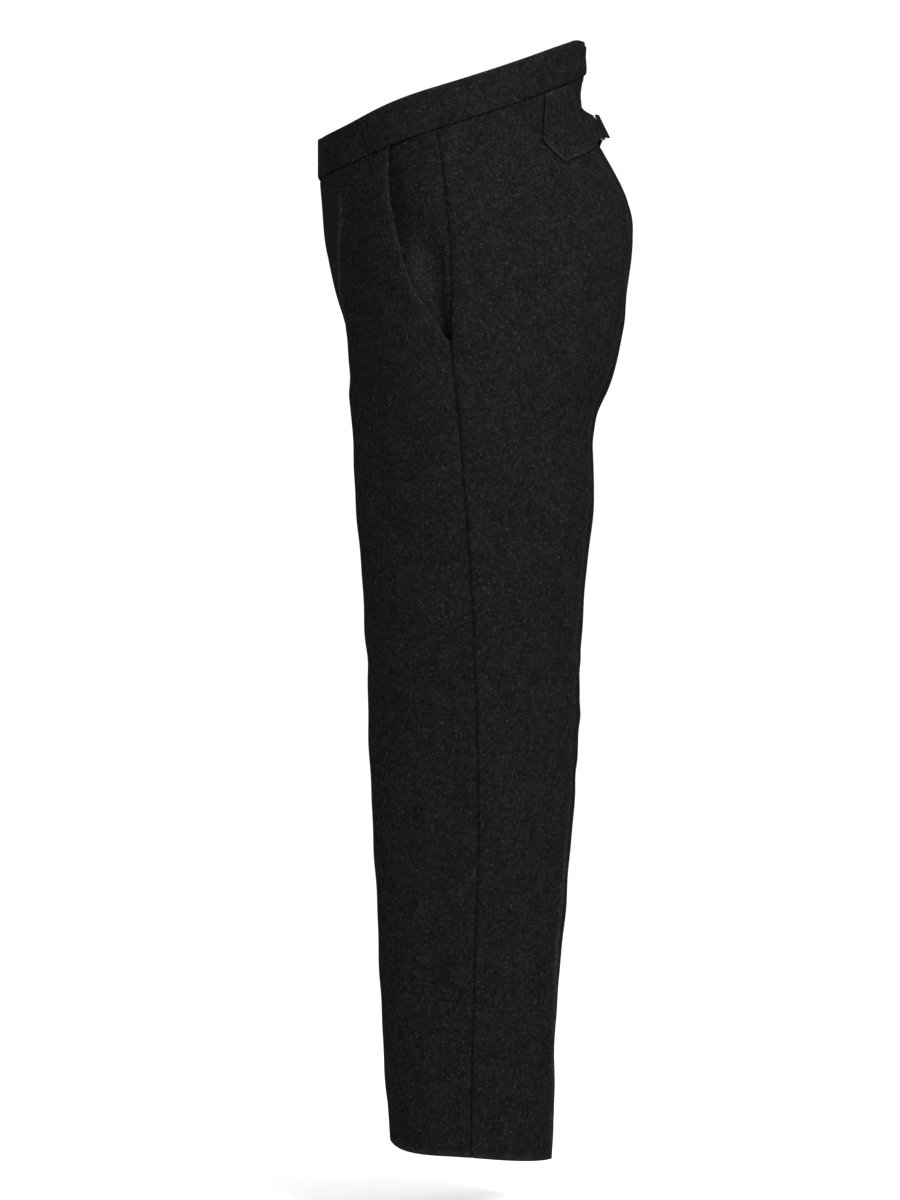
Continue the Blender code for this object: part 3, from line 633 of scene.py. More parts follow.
def crease_depth(line, z, side):
    """How far the finer creases move each point out of the cloth.

    A crease is a ridge exp(-a^2), with a = distance / width from its line, and a shallower
    trough of 0.45 exp(-((a - 1.7) / 1.2)^2) beside it. Both fade past the crease's ends.
    """
    total = np.zeros(line.shape)
    for line0, z0, line1, z1, depth, width, left, right in zip(*CREASES.values()):
        span = math.hypot((line1 - line0) * LINE_LENGTH, z1 - z0)
        along_u, along_z = (line1 - line0) * LINE_LENGTH / span, (z1 - z0) / span
        u, v = (line - line0) * LINE_LENGTH, z - z0
        along = (u * along_u + v * along_z) / span
        across = (v * along_u - u * along_z) / width
        fade = smooth(along, -0.35, 0.30) * (1 - smooth(along, 0.60, 1.40))
        shape = np.exp(-(across**2)) - 0.45 * np.exp(-(((across - 1.7) / 1.2) ** 2))
        total += (left if side > 0 else right) * depth * fade * shape
    return total


def wave_depth(points, side):
    """Slow waves of the cloth: a sum of height sin(x by_x + y by_y + z by_z)."""
    total = np.zeros(points.shape[:-1])
    for height, by_x, by_y, by_z in zip(*WAVES.values()):
        phase = points[..., 0] * by_x + points[..., 1] * by_y + points[..., 2] * by_z
        total += height * np.sin(phase + (0 if side > 0 else 1.9))
    return total


def stitch_dip(distance):
    """How far stitches pull the cloth in: SEAM_DIP exp(-(distance / SEAM_DIP_WIDTH)^2)."""
    return SEAM_DIP * ridge(distance, SEAM_DIP_WIDTH)


def seam_distances(level, line, z):
    """How far along the cloth each point is from the side, front, back and waist seams.

    The front's inner edge is a seam only below the fork. Above it, it is far from any.
    """
    past_fork = smooth(level, FORK_LEVEL - 0.5, FORK_LEVEL + 0.5)
    to_side = np.abs(line - 2) * LINE_LENGTH
    to_front = line * LINE_LENGTH + (1 - past_fork)
    to_back = (4 - line) * LINE_LENGTH
    to_waist = smooth_cloth(np.zeros(line.shape), line)[..., 2] - z
    return to_side, to_front, to_back, to_waist


def seam_depth(level, line, z):
    """The pressed allowances beside each long seam, and the stitches' dip along each seam.

    The cloth is lifted where it is less than SEAM_ALLOWANCE from a long seam, with small
    puckers along it, and dips at the stitches.
    """
    *long_seams, to_waist = seam_distances(level, line, z)
    total = np.zeros(line.shape)
    for number, distance in enumerate(long_seams):
        near = 1 - smooth(distance, SEAM_ALLOWANCE - 0.003, SEAM_ALLOWANCE + 0.003)
        turns = 2 * math.pi * (z + 0.011 * np.sin(37 * z + number)) / PUCKER_PITCH
        total += (SEAM_LIFT + PUCKER * np.sin(turns)) * near
        total -= stitch_dip(distance)
    return total - stitch_dip(to_waist)


def hem_height(level, line, z):
    """Height of each point above the hem."""
    return z - smooth_cloth(np.full(line.shape, float(HEM_LEVEL)), line)[..., 2]


def hem_sway(level, line, side):
    """How far each leg's back crease stands back at the hem, over its place in both legs."""
    near_hem = smooth(level, *SWAY_LEVELS)
    behind = np.sin(np.pi * np.clip(line - 2, 0, 2) / 2) ** 2
    return (LEFT_SWAY if side > 0 else RIGHT_SWAY) * near_hem * behind


def cloth(level, line, side):
    """Points of the cloth's outer face with all its folds, and their outward directions."""
    points = smooth_cloth(level, line)
    points[..., 1] += hem_sway(level, line, side)
    facing = outward(level, line)
    z = points[..., 2]
    inside = smooth(line, 0.0, 0.15) * (1 - smooth(line, 3.85, 4.0))
    fine = (crease_depth(line, z, side) + wave_depth(points, side)) * inside
    blind_hem = HEM_DIP * ridge(hem_height(level, line, z) - HEM_TURN_UP, HEM_DIP_WIDTH)
    depth = fold_depth(points, line, side) + fine + seam_depth(level, line, z) - blind_hem
    return points + facing * depth[..., None], facing


def bisect(is_past, low, high):
    """The places between low and high where is_past turns true."""
    low, high = np.array(low, float), np.array(high, float)
    for _ in range(30):
        middle = (low + high) / 2
        past = is_past(middle)
        low, high = np.where(past, low, middle), np.where(past, middle, high)
    return (low + high) / 2


def pocket_foot():
    """The level at which the pocket's opening meets the side seam."""
    return bisect(lambda level: spline(SIDE_SEAM["z"], level) < POCKET_END_Z, [0.0], [8.0])[0]


def pocket_line(level):
    """Where the pocket's opening crosses each level, between lines 1 and 2."""

    def past(line):
        points = smooth_cloth(level, line)
        return points[..., 1] > np.interp(points[..., 2], POCKET_LINE["z"], POCKET_LINE["y"])

    return bisect(past, np.full(level.shape, 1.0), np.full(level.shape, 2.0))


def levels_between(top, foot):
    """Levels from top to foot, about ROW_STEP apart down the side seam and closer at the waist."""
    dense = np.linspace(top, foot, 400)
    depth = -spline(SIDE_SEAM["z"], dense)
    count = max(round((depth[-1] - depth[0]) / ROW_STEP), 1)
    places = np.linspace(depth[0], depth[-1], count + 1)
    if top == 0:
        places = np.union1d(places, depth[0] + SEAM_STEPS)
    return np.interp(places, depth, dense)


def shares_to_seam(count):
    """Steps from 0 to 1, closer together just before a seam at 1."""
    return np.union1d(np.linspace(0, 1, count + 1), 1 - SEAM_STEPS / LINE_LENGTH)


def panel_levels():
    """Levels of a panel's rows, with one at the pocket's foot and one at the fork."""
    foot = pocket_foot()
    upper = levels_between(0, foot)
    lower = levels_between(foot, FORK_LEVEL)[1:]
    leg = levels_between(FORK_LEVEL, HEM_LEVEL)[1:]
    return np.concatenate([upper, lower, leg])


def front_shares():
    """Steps from the centre front to the front crease, crowded towards the centre."""
    return np.linspace(0, 1, QUARTER_STEPS + 1) ** FRONT_CROWDING


def stitch_on(points, row, neighbour):
    """Moves one edge of a grid away from the row next to it, a little into the piece beyond."""
    points[row] -= SEAM_BITE / 2 * unit(points[neighbour] - points[row])


def keep_off_middle(grid):
    """Keeps a half's points on its own side of the middle plane."""
    grid[..., 0] = np.maximum(grid[..., 0], 0)


def stitch_panel(grid, levels, inner_column, seam_column):
    """Stitches a panel's grid on at the waist, the side and the inseam."""
    next_to = {0: 1, -1: -2}
    leg = grid[levels > FORK_LEVEL - 1e-6]
    stitch_on(leg, (slice(None), inner_column), (slice(None), next_to[inner_column]))
    grid[levels > FORK_LEVEL - 1e-6] = leg
    stitch_on(grid, (slice(None), seam_column), (slice(None), next_to[seam_column]))
    stitch_on(grid, 0, 1)


def turned_up(level, line, z):
    """Thickness of a panel: the hem is turned up inside, which adds a second layer."""
    height = hem_height(level, line, z)
    return CLOTH + TURN_UP_CLOTH * (1 - smooth(height, HEM_TURN_UP - 0.002, HEM_TURN_UP + 0.001))


def painted_seam_shade(level, line):
    """Painted shade in a seam's groove: 1 at its bottom, and 0 past SEAM_SHADE_WIDTH on either
    side of it.
    """
    distances = seam_distances(level, line, smooth_cloth(level, line)[..., 2])
    return ridge(np.minimum.reduce(distances), SEAM_SHADE_WIDTH)


def crease_highlights_and_hem_wear(level, line):
    """How much lighter the cloth is painted: highlights along the front and back creases, and wear
    at the hem.
    """
    below = smooth(level, 0.3, 1.6)
    in_front = ridge(line - 1, FRONT_HIGHLIGHT_WIDTH)
    in_front = in_front * (1 - FRONT_HIGHLIGHT_FADE * smooth(level, *FRONT_FADE_LEVELS))
    near_hem = smooth(level, *BACK_HIGHLIGHT_LEVELS)
    behind = ridge(line - BACK_HIGHLIGHT_LINE, BACK_HIGHLIGHT_WIDTH)
    behind = behind * (BACK_HIGHLIGHT_ABOVE + (1 - BACK_HIGHLIGHT_ABOVE) * near_hem)
    hem = smooth(level, HEM_LEVEL - HEM_RUB_LEVELS, HEM_LEVEL)
    return np.clip((in_front + behind) * below + HEM_RUB * hem, 0, 1)


def front_cloth(side, material):
    """A front, cut away along the pocket's opening, with the fly's lap on the wearer's left."""
    levels = panel_levels()
    foot = pocket_foot()
    edge = np.where(levels < foot - 1e-6, pocket_line(levels), 2.0)[:, None]
    share = shares_to_seam(QUARTER_STEPS)
    near_centre = np.tile(front_shares()[:-1], (len(levels), 1))
    line = np.concatenate([near_centre, 1 + share * (edge - 1)], axis=1)
    level = np.repeat(levels[:, None], line.shape[1], axis=1)
    outer, facing = cloth(level, line, side)
    gape = POCKET_GAPE * np.sin(np.pi * np.clip(level / foot, 0, 1) ** 0.7) ** 2
    outer += facing * (gape * smooth(line, 1.05, edge))[..., None]
    inner = outer - facing * turned_up(level, line, outer[..., 2])[..., None]
    keep_off_middle(outer)
    keep_off_middle(inner)
    if side > 0:
        lap_fly(level, line, facing, outer, inner)
    stitch_panel(outer, levels, 0, -1)
    stitch_panel(inner, levels, 0, -1)
    # Painted highlight along the pocket's mouth over the creases' painted highlights and the hem's
    # wear, and painted shade in the seams except at the mouth
    at_mouth = ridge(line - edge, MOUTH_HIGHLIGHT_WIDTH) * (level < foot)
    painted_light_and_wear = np.maximum(crease_highlights_and_hem_wear(level, line), MOUTH_HIGHLIGHT * at_mouth)
    painted_light_and_wear = painted_light_and_wear - painted_seam_shade(level, line) * (1 - at_mouth)
    return wall(sided("front_cloth", side), outer, inner, side, painted_light_and_wear, material)


def lap_fly(level, line, facing, outer, inner):
    """Raises the left front beside the fly, and lays its edge on the right front's cloth."""
    distance = smooth_cloth(level, line)[..., 0]
    flat = 1 - smooth(distance, FLY_FLAT, FLY_BLEND)
    rise = FLY_RISE * flat * (1 - smooth(level, *FLY_RISE_END))
    lap = FLY_LAP * (1 - smooth(distance, 0, FLY_BLEND)) * (1 - smooth(level, *FLY_LAP_END))
    for grid in (outer, inner):
        grid += facing * rise[..., None]
        grid[..., 0] -= lap
    lapped = lap[:, 0] > 0
    edge_level, edge_lap, edge_rise = level[lapped, 0], lap[lapped, 0], rise[lapped, :1]

    def past(place):
        return smooth_cloth(edge_level, place)[:, 0] > edge_lap

    place = bisect(past, np.zeros(len(edge_level)), np.ones(len(edge_level)))
    under, under_facing = cloth(edge_level, place, -1)
    mirror = np.array([-1, 1, 1])
    outer[lapped, 0] = (under + under_facing * edge_rise) * mirror
    inner[lapped, 0] = (under + under_facing * (edge_rise - CLOTH)) * mirror


def back_cloth(side, material):
    """A back, from the side seam over the seat to the centre seam and the inseam."""
    levels = panel_levels()
    share = shares_to_seam(QUARTER_STEPS)
    line = np.tile(np.concatenate([3 - share[::-1], 3 + share[1:]]), (len(levels), 1))
    level = np.repeat(levels[:, None], line.shape[1], axis=1)
    outer, facing = cloth(level, line, side)
    inner = outer - facing * turned_up(level, line, outer[..., 2])[..., None]
    keep_off_middle(outer)
    keep_off_middle(inner)
    stitch_panel(outer, levels, -1, 0)
    stitch_panel(inner, levels, -1, 0)
    # Painted highlights on the creases and wear at the hem, less painted shade in the seams
    painted_light_and_wear = crease_highlights_and_hem_wear(level, line) - painted_seam_shade(level, line)
    return wall(sided("back_cloth", side), outer, inner, side, painted_light_and_wear, material)


def pocket_facing_cloth(side, material):
    """The cloth in the pocket's mouth: it meets the side seam and runs under the front's edge."""
    foot = pocket_foot()
    below = levels_between(foot, FORK_LEVEL)[1:5]
    rows = np.concatenate([levels_between(0, foot), below])
    edge = pocket_line(rows)[:, None]
    share = shares_to_seam(FACING_STEPS)
    first = edge - FACING_UNDERLAP
    line = first + share * (2 - first)
    level = np.repeat(rows[:, None], line.shape[1], axis=1)
    outer, facing = cloth(level, line, side)
    under = 1 - smooth(line, edge, np.maximum(2.0, edge + 1e-6))
    under = np.maximum(under, smooth(level / foot, *FACING_SINK))
    hollow = np.sin(np.pi * np.clip((line - first) / (2 - first), 0, 1) ** 2.1) ** 2
    hollow = POCKET_HOLLOW * hollow * smooth(level / foot, *HOLLOW_SHARES)
    mouth = np.abs(np.sin(np.pi * np.clip(level / foot, 0, 1) ** 0.6))
    mouth = POCKET_MOUTH * mouth * ridge(line - edge, POCKET_MOUTH_WIDTH)
    sunk = FACING_DEPTH * under + hollow + mouth
    outer -= facing * sunk[..., None]
    tucked = smooth(sunk[0], *TUCK_FROM)
    outer[0] -= facing[0] * (np.maximum(TUCK_DEPTH - sunk[0], 0) * tucked)[:, None]
    outer[0, :, 2] += TUCK_RISE * tucked
    inner = outer - facing * CLOTH
    for grid in (outer, inner):
        stitch_on(grid, (slice(None), -1), (slice(None), -2))
        stitch_on(grid, 0, 1)
    # A painted highlight on the facing beside the pocket's edge, less painted shade in the seams
    facing_highlight = ridge(line - edge - FACING_HIGHLIGHT_LINE, FACING_HIGHLIGHT_ACROSS)
    facing_highlight = facing_highlight * ridge(outer[..., 2] - FACING_HIGHLIGHT_Z, FACING_HIGHLIGHT_DOWN)
    painted_light_and_wear = FACING_HIGHLIGHT * facing_highlight - painted_seam_shade(level, line)
    return wall(sided("pocket_facing_cloth", side), outer, inner, side, painted_light_and_wear, material)


def waistband_cloth(side, material):
    """A half of the band. It ends in the notch at the back, and the left one laps in front."""
    near = SEAM_STEPS / BAND_HEIGHTS.mean()
    rows = np.union1d(np.linspace(0, 1, BAND_ROWS + 1), np.append(near, 1 - near))[::-1, None]
    end = 4 - (NOTCH_HALF_WIDTH * rows + SEAM_GAP / 2) / BACK_CREASE["x"][0]
    shares = np.linspace(0, 1, QUARTER_STEPS + 1)
    fixed = np.concatenate([front_shares()[:-1], 1 + shares[:-1], 2 + shares])
    if side > 0:
        fixed = np.concatenate([-front_shares()[BAND_LAP_STEPS:0:-1], fixed])
    last = 3 + shares[1:] * (end - 3)
    line = np.concatenate([np.tile(fixed, (len(rows), 1)), last], axis=1)
    seam, facing = cloth(np.zeros(line.shape), np.abs(line), side)
    mirrored = np.where(line < 0, -1.0, 1.0)
    seam[..., 0] *= mirrored
    facing[..., 0] *= mirrored
    height = rows * spline(BAND_HEIGHTS, 2 * np.abs(line))
    flare = (LEFT_FLARE if side > 0 else RIGHT_FLARE) * rows * smooth(line, 3.2, 4)
    proud = BAND_PROUD + flare + SEAM_DIP - stitch_dip(height)
    if side > 0:
        proud = proud + BAND_LAP_RISE * (1 - smooth(seam[..., 0], 0.003, BAND_LAP_BLEND))
    outer = seam + facing * proud[..., None]
    outer[..., 2] += height - SEAM_BITE / 2
    inner = outer - facing * BAND_CLOTH
    if side < 0:
        keep_off_middle(outer)
        keep_off_middle(inner)
    # Painted highlight, partly edge wear, along the band's top edge, less painted shade along the
    # waist seam
    painted_light_and_wear = EDGE_HIGHLIGHT_AND_WEAR * ridge(rows - 1, BAND_EDGE_LIGHT_WIDTH) - ridge(height, SEAM_SHADE_WIDTH)
    return wall(sided("waistband_cloth", side), outer, inner, side, painted_light_and_wear, material)


def on_back(x, z):
    """Level and line of the point of the back at a distance from the middle and a height."""
    level = np.full(x.shape, 1.0)
    line = np.full(x.shape, 3.0)
    step = 1e-4
    for _ in range(25):
        here = smooth_cloth(level, line)
        by_level = (smooth_cloth(level + step, line) - here) / step
        by_line = (smooth_cloth(level, line + step) - here) / step
        miss_x, miss_z = x - here[..., 0], z - here[..., 2]
        scale = by_level[..., 0] * by_line[..., 2] - by_level[..., 2] * by_line[..., 0]
        level_move = (miss_x * by_line[..., 2] - miss_z * by_line[..., 0]) / scale
        line_move = (miss_z * by_level[..., 0] - miss_x * by_level[..., 2]) / scale
        level = np.clip(level + np.clip(level_move, -0.5, 0.5), 0.0, 4.0)
        line = np.clip(line + np.clip(line_move, -0.3, 0.3), 2.0, 3.999)
    return level, line


def seam_height(x):
    """Height of the waist seam of the back at distances from the middle."""
    line = np.linspace(4, 2, 81)
    seam = smooth_cloth(np.zeros(81), line)
    return np.interp(x, seam[:, 0], seam[:, 2])


def buckle_frame():
    """The buckle's directions up along it and out of it."""
    lean = math.radians(BUCKLE_LEAN)
    up = np.array([0, -math.sin(lean), math.cos(lean)])
    out = np.array([0, math.cos(lean), math.sin(lean)])
    return up, out


def divide(points):
    """Points again, with each span between two of them cut into steps of about STRAP_STEP."""
    spans = []
    for start, end in zip(points, points[1:]):
        count = max(round(np.linalg.norm(end - start) / STRAP_STEP), 1)
        share = np.arange(count)[:, None] / count
        spans.append(start + share * (end - start))
    return np.concatenate([*spans, points[-1:]])


def strap_route(side):
    """Distance from the middle, height over the body, width and lift, round the buckle's bar.

    The left strap passes over its bar and is sewn down under itself. The right one comes from
    under its bar, turns back over it and ends loose.
    """
    tilt = math.radians(BUCKLE_TILT)
    bar_x = BAR_X * math.cos(tilt)
    bar_out = BUCKLE_STAND_OFF - side * BAR_X * math.sin(tilt)
    first = side * BAR_REACH
    lift = LEFT_STRAP_LIFT if side > 0 else RIGHT_STRAP_LIFT
    turn = [
        (bar_x - BAR_REACH * math.sin(angle), bar_out + first * math.cos(angle), TURN_WIDTH, 0.0)
        for angle in np.linspace(0, math.pi, TURN_STEPS + 1)
    ]
    before = [(x, bar_out + first, STRAP_WIDTH, lift) for x in STRAP_BEFORE_TURN]
    if side > 0:
        after = [(x, bar_out - first, TURN_WIDTH, 0.0) for x in STRAP_AFTER_TURN]
    else:
        lying = bar_out - first
        near, far = FREE_END_X
        after = [(near, lying, STRAP_WIDTH, lift), (far, lying + FREE_END_RISE, STRAP_WIDTH, lift)]
    return divide(np.array(before + turn + after))


def cinch_tab_cloth(side, material):
    """A cinch tab, from its end sewn under the waistband to its turn round the buckle's bar."""
    share = np.linspace(0, 1, STRAP_ROWS + 1)[:, None]
    top_x, top_z, bottom_x, bottom_z = divide(np.column_stack(list(STRAP_EDGES.values()))).T
    top_z = np.minimum(top_z, seam_height(top_x) - STRAP_SEAM_GAP)
    x = top_x + share**STRAP_EDGE_BEND * (bottom_x - top_x)
    z = top_z + share * (bottom_z - top_z)
    level, line = on_back(x, z)
    body, facing = cloth(level, line, side)
    on_body = body + facing * STRAP_REST
    up, out = buckle_frame()
    route = strap_route(side)
    sideways = np.array([1.0, 0, 0])
    across = (0.5 - share[..., None]) * up
    loose = BUCKLE_PLACE + across * route[:, 2:3] + route[:, :1] * sideways
    loose = loose + route[:, 1:2] * out + route[:, 3:] * up
    flat = BUCKLE_PLACE + across * STRAP_WIDTH + x[..., None] * sideways
    flat = flat + route[0, 1] * out + route[0, 3] * up
    blend = 1 - smooth(x, *STRAP_LEAVES_BODY[::-1])[..., None]
    middle = np.concatenate([on_body * (1 - blend) + flat * blend, loose[:, 1:]], axis=1)
    along = np.gradient(middle, axis=1)
    down = np.gradient(middle, axis=0)
    outwards = unit(np.cross(down, along))
    outer = middle + outwards * STRAP_CLOTH / 2
    inner = middle - outwards * STRAP_CLOTH / 2
    # The strap's edges painted lighter, partly highlight and partly wear
    at_edge = EDGE_HIGHLIGHT_AND_WEAR * ridge(np.minimum(share, 1 - share), STRAP_EDGE_LIGHT_WIDTH)
    painted_light_and_wear = np.broadcast_to(at_edge, middle.shape[:2])
    return wall(sided("cinch_tab_cloth", side), outer, inner, side, painted_light_and_wear, material)


def buckle_ring(material):
    """The buckle's wire: a circle carried round a rectangle with rounded corners.

    With c and n a point and the outward normal of the rectangle's line, and b the direction
    square to its plane, a point of the wire is c + r (n cos a + b sin a).
    """
    half_x = (BUCKLE_LENGTH - BUCKLE_WIRE) / 2 - BUCKLE_CORNER
    half_y = (BUCKLE_HEIGHT - BUCKLE_WIRE) / 2 - BUCKLE_CORNER
    steps = np.linspace(0, math.pi / 2, BUCKLE_CORNER_STEPS + 1)
    angle = np.concatenate([steps + corner * math.pi / 2 for corner in range(4)])
    sign_x = np.repeat([1, -1, -1, 1], len(steps))
    sign_y = np.repeat([1, 1, -1, -1], len(steps))
    normal = np.stack([np.cos(angle), np.sin(angle), np.zeros(len(angle))], axis=-1)
    centre = np.stack([sign_x * half_x, sign_y * half_y, np.zeros(len(angle))], axis=-1)
    centre = centre + BUCKLE_CORNER * normal
    around = np.linspace(0, 2 * math.pi, BUCKLE_SIDES, endpoint=False)[:, None]
    square = np.array([0.0, 0.0, 1.0])
    reach = BUCKLE_WIRE / 2 * (np.cos(around) * normal[:, None] + np.sin(around) * square)
    turn_back = Matrix.Rotation(math.radians(90 + BUCKLE_LEAN), 3, "X")
    turned = turn_back @ Matrix.Rotation(-math.radians(BUCKLE_TILT), 3, "Y")
    _, out = buckle_frame()
    points = (centre[:, None] + reach).reshape(-1, 3) @ np.array(turned).T
    points = points + BUCKLE_PLACE + out * BUCKLE_STAND_OFF
    index = np.arange(len(points)).reshape(len(angle), BUCKLE_SIDES)
    index = np.pad(index, ((0, 1), (0, 1)), mode="wrap")
    mesh = bpy.data.meshes.new("buckle_ring")
    mesh.from_pydata(points.tolist(), [], grid_quads(index).tolist())
    mesh.shade_smooth()
    return show("buckle_ring", mesh, material)


def sided(name, side):
    """A name with its half: left where side is 1, and right where it is -1."""
    return name + ("_left" if side > 0 else "_right")


def lay_of_cloth(grid):
    """How far each point of a grid is along the cloth from its first column and row, in metres."""
    across = np.linalg.norm(np.diff(grid, axis=1), axis=2)
    down = np.linalg.norm(np.diff(grid, axis=0), axis=2)
    across = np.pad(np.cumsum(across, axis=1), ((0, 0), (1, 0)))
    down = np.pad(np.cumsum(down, axis=0), ((1, 0), (0, 0)))
    return np.stack([across, -down], axis=-1).reshape(-1, 2)


def wall(name, outer, inner, side, painted_light_and_wear, material):
    """A closed wall of cloth between two grids of the left half, mirrored for the right one."""
    rows, columns = outer.shape[:2]
    points = np.concatenate([outer.reshape(-1, 3), inner.reshape(-1, 3)])
    points = points * np.array([side, 1, 1])
    front = np.arange(rows * columns).reshape(rows, columns)
    back = front + rows * columns
    rim = np.concatenate([front[0], front[1:, -1], front[-1, -2::-1], front[-2:0:-1, 0]])
    after = np.roll(rim, -1)
    quads = np.concatenate(
        [
            grid_quads(front),
            grid_quads(back)[:, ::-1],
            np.stack([rim, after, after + rows * columns, rim + rows * columns], axis=-1),
        ]
    )
    if side < 0:
        quads = quads[:, ::-1]
    mesh = bpy.data.meshes.new(name)
    mesh.from_pydata(points.tolist(), [], quads.tolist())
    lay = np.tile(lay_of_cloth(outer), (2, 1))
    corner = np.zeros(len(mesh.loops), np.int32)
    mesh.loops.foreach_get("vertex_index", corner)
    mesh.uv_layers.new(name="lay").data.foreach_set("uv", lay[corner].ravel())
    # Per point: painted highlights and wear above 0, painted seam shade below 0
    light_and_wear_layer = mesh.attributes.new("painted_light_and_wear", "FLOAT", "POINT")
    light_and_wear_layer.data.foreach_set("value", np.tile(painted_light_and_wear.ravel(), 2))
    mesh.shade_smooth()
    piece = show(name, mesh, material)
    edges = piece.modifiers.new("rounded_edges", "BEVEL")
    edges.width = EDGE_ROUND
    edges.segments = EDGE_STEPS
    edges.limit_method = "ANGLE"
    edges.angle_limit = math.radians(EDGE_ANGLE)
    return piece


def grid_quads(index):
    """Quads of a grid of point numbers, whose rows run down and columns run back."""
    corners = [index[:-1, :-1], index[1:, :-1], index[1:, 1:], index[:-1, 1:]]
    return np.stack(corners, axis=-1).reshape(-1, 4)


def show(name, shape, material):
    """Adds a shape to the scene, with its material."""
    thing = bpy.data.objects.new(name, shape)
    shape.materials.append(material)
    bpy.context.scene.collection.objects.link(thing)
    return thing


def put(tree, kind, inputs, **settings):
    """A new node with its settings, whose inputs are values or other nodes' outputs."""
    made = tree.nodes.new(kind)
    for name, value in settings.items():
        setattr(made, name, value)
    for key, value in inputs.items():
        if isinstance(value, bpy.types.NodeSocket):
            tree.links.new(value, made.inputs[key])
        else:
            made.inputs[key].default_value = value
    return made


def noise(tree, place, scale, detail, distortion=0.0):
    """Even noise from 0 to 1, in lumps of about 1 / scale metres."""
    inputs = {"Vector": place, "Scale": scale, "Detail": detail, "Distortion": distortion}
    return in_range(tree, put(tree, "ShaderNodeTexNoise", inputs).outputs[0], 0.3, 0.7)


def in_range(tree, value, low, high):
    """A value spread so that low becomes 0 and high becomes 1, held between the two."""
    inputs = {"Value": value, "From Min": low, "From Max": high}
    return put(tree, "ShaderNodeMapRange", inputs).outputs[0]


def sum_of(tree, parts):
    """The sum of outputs, each times its share."""
    total = None
    for output, share in parts:
        inputs = {0: output, 1: share, 2: 0.0 if total is None else total}
        total = put(tree, "ShaderNodeMath", inputs, operation="MULTIPLY_ADD").outputs[0]
    return total


def ramp(tree, factor, stops):
    """Greys of a ramp's stops, each at its place from 0 to 1."""
    made = put(tree, "ShaderNodeValToRGB", {"Fac": factor})
    elements = made.color_ramp.elements
    while len(elements) < len(stops):
        elements.new(0.5)
    for element, (place, shade) in zip(elements, stops):
        element.position = place
        element.color = (shade, shade, shade * WOOL_TINT, 1)
    return made.outputs[0]


def grey(value):
    """A grey as a colour with alpha."""
    return (value, value, value, 1)


def blend(tree, factor, below, above, kind="MIX"):
    """Two colours mixed by a factor."""
    inputs = {0: factor, 6: below, 7: above}
    made = put(tree, "ShaderNodeMix", inputs, data_type="RGBA", blend_type=kind)
    return made.outputs[2]


def charcoal_wool():
    """Milled charcoal cloth: dark and grey fibres blended, light flecks, and a felted nap.

    The fibres and the nap are noise in the cloth's own space. Under the nap a steep twill
    follows the lay of the cloth. Where rub is above 0 the cloth is painted lighter, as highlights
    on creases and edges, with some wear on edges and at the hem, and where it is below 0 it is
    painted darker, as shade in the seams.
    """
    material = bpy.data.materials.new("charcoal_wool_cloth")
    material.use_nodes = True
    tree = material.node_tree
    shader = tree.nodes["Principled BSDF"]
    place = put(tree, "ShaderNodeTexCoord", {}).outputs["Object"]
    lay = put(tree, "ShaderNodeUVMap", {}, uv_map="lay").outputs["UV"]
    clumps = noise(tree, place, *CLUMPS)
    fibres = noise(tree, place, *FIBRES)
    clouds = noise(tree, place, *CLOUDS)
    melange = sum_of(tree, zip((clumps, fibres, clouds), MELANGE_SHARES))
    greys = ramp(tree, melange, WOOL_GREYS)
    flecks = in_range(tree, noise(tree, place, *FLECKS), FLECK_FROM, 1.0)
    colour = blend(tree, flecks, greys, grey(FLECK_GREY))
    # Painted highlights and wear lighten the cloth, and painted shade darkens its seams
    painted_light_and_wear = put(tree, "ShaderNodeAttribute", {}, attribute_name="painted_light_and_wear").outputs["Fac"]
    lighter = blend(tree, painted_light_and_wear, grey(1), grey(HIGHLIGHT_AND_WEAR_LIGHTENS))
    colour = blend(tree, 1.0, colour, lighter, "MULTIPLY")
    # Painted shade darkens the cloth in the seams
    seam_shade_colour = blend(tree, in_range(tree, painted_light_and_wear, 0.0, -1.0), grey(1), grey(SEAM_SHADE_DARKENS))
    colour = blend(tree, 1.0, colour, seam_shade_colour, "MULTIPLY")
    turn = {"Vector": lay, "Rotation": (0, 0, math.radians(TWILL_TURN))}
    turned = put(tree, "ShaderNodeMapping", turn).outputs[0]
    scale = math.pi / 10 / TWILL_PITCH
    rib = {"Vector": turned, "Scale": scale, "Distortion": TWILL_WOBBLE}
    twill = put(tree, "ShaderNodeTexWave", rib).outputs[1]
    height = sum_of(tree, zip((clumps, fibres, twill), NAP_SHARES))
    relief = {"Height": height, "Strength": NAP_STRENGTH, "Distance": NAP_HEIGHT}
    tree.links.new(put(tree, "ShaderNodeBump", relief).outputs[0], shader.inputs["Normal"])
    tree.links.new(colour, shader.inputs["Base Color"])
    shader.inputs["Roughness"].default_value = WOOL_ROUGHNESS
    shader.inputs["Specular IOR Level"].default_value = 0.0
    shader.inputs["Sheen Weight"].default_value = WOOL_SHEEN
    shader.inputs["Sheen Roughness"].default_value = WOOL_SHEEN_ROUGHNESS
    return material


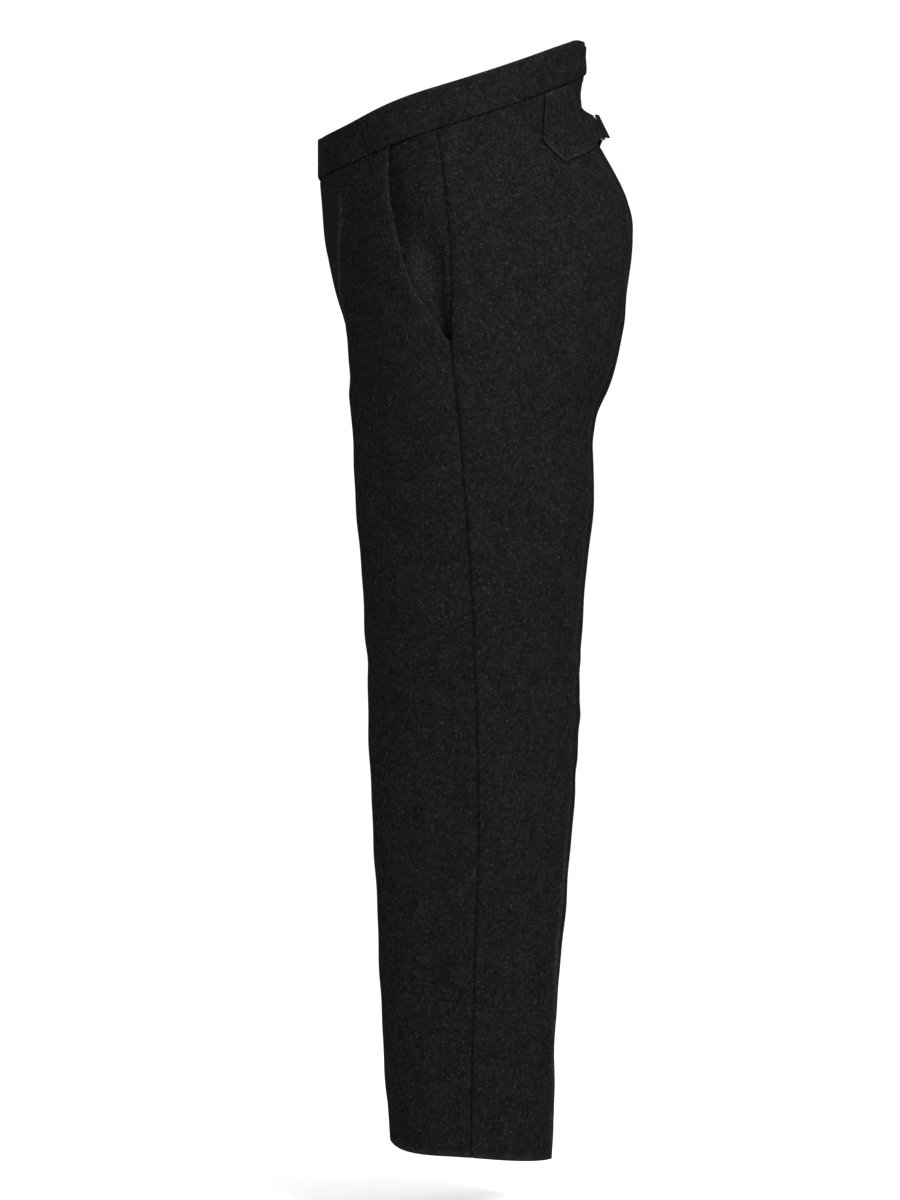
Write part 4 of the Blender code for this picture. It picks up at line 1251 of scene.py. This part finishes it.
def blackened_metal():
    """Blackened steel wire: nearly black, with fine wear that makes its gloss uneven."""
    material = bpy.data.materials.new("blackened_wire")
    material.use_nodes = True
    tree = material.node_tree
    shader = tree.nodes["Principled BSDF"]
    place = put(tree, "ShaderNodeTexCoord", {}).outputs["Object"]
    wear = noise(tree, place, *WIRE_WEAR)
    colour = blend(tree, wear, WIRE_DARK, WIRE_WORN)
    low, high = WIRE_ROUGHNESS
    gloss = put(tree, "ShaderNodeMapRange", {"Value": wear, "To Min": low, "To Max": high})
    relief = {"Height": wear, "Strength": WIRE_RELIEF_STRENGTH, "Distance": WIRE_RELIEF}
    tree.links.new(colour, shader.inputs["Base Color"])
    tree.links.new(gloss.outputs[0], shader.inputs["Roughness"])
    tree.links.new(put(tree, "ShaderNodeBump", relief).outputs[0], shader.inputs["Normal"])
    shader.inputs["Metallic"].default_value = 1.0
    return material


def floor():
    """A white floor a little below the hems: one square."""
    material = bpy.data.materials.new("pale_floor")
    material.use_nodes = True
    shader = material.node_tree.nodes["Principled BSDF"]
    shader.inputs["Base Color"].default_value = FLOOR_COLOUR
    shader.inputs["Roughness"].default_value = FLOOR_ROUGHNESS
    height = solid_corners[0][2] - FLOOR_BELOW_HEM
    signs = ((-1, -1), (1, -1), (1, 1), (-1, 1))
    corners = [(x * FLOOR_REACH, y * FLOOR_REACH, height) for x, y in signs]
    mesh = bpy.data.meshes.new("floor")
    mesh.from_pydata(corners, [], [(0, 1, 2, 3)])
    return show("floor", mesh, material)


def aim(thing, place, target):
    """Puts a camera or a light at a place and turns it to a target."""
    thing.location = place
    thing.rotation_euler = (Vector(target) - Vector(place)).to_track_quat("-Z", "Y").to_euler()
    bpy.context.scene.collection.objects.link(thing)


def studio():
    """White surroundings, and soft boxes on the camera's side."""
    world = bpy.data.worlds.new("studio")
    world.use_nodes = True
    background = world.node_tree.nodes["Background"]
    background.inputs["Color"].default_value = (1, 1, 1, 1)
    background.inputs["Strength"].default_value = WORLD_STRENGTH
    bpy.context.scene.world = world
    for name, place, size, power in SOFT_BOXES:
        light = bpy.data.lights.new(name, "AREA")
        light.size = size
        light.energy = power
        aim(bpy.data.objects.new(name, light), place, MIDDLE)


def photo_camera():
    """A long lens at mid height beside the wearer's left, turned a little to the back."""
    camera = bpy.data.cameras.new("photo_camera")
    camera.lens = CAMERA_LENS
    camera.sensor_width = CAMERA_SENSOR
    turn = math.radians(CAMERA_TURN)
    out = np.array([math.cos(turn), math.sin(turn), 0])
    place = out * CAMERA_DISTANCE + np.array([0, 0, CAMERA_HEIGHT])
    thing = bpy.data.objects.new("photo_camera", camera)
    aim(thing, place.tolist(), (place - out).tolist())
    bpy.context.scene.camera = thing


def dress(piece, node):
    """The piece stands in for a solid, which is hidden, and rides on the one body."""
    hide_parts(node)
    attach(piece, "root")


def main():
    photo_camera()
    studio()
    floor()
    wool, wire = charcoal_wool(), blackened_metal()
    for side in (1, -1):
        band = waistband_cloth(side, wool)
        front = front_cloth(side, wool)
        back = back_cloth(side, wool)
        facing = pocket_facing_cloth(side, wool)
        tab = cinch_tab_cloth(side, wool)
        dress(band, sided("waistband", side))
        dress(front, sided("front", side))
        dress(back, sided("back", side))
        dress(facing, sided("pocket_facing", side))
        dress(tab, sided("cinch_tab", side))
    dress(buckle_ring(wire), "buckle")
    bpy.context.scene.view_settings.view_transform = "Standard"


main()
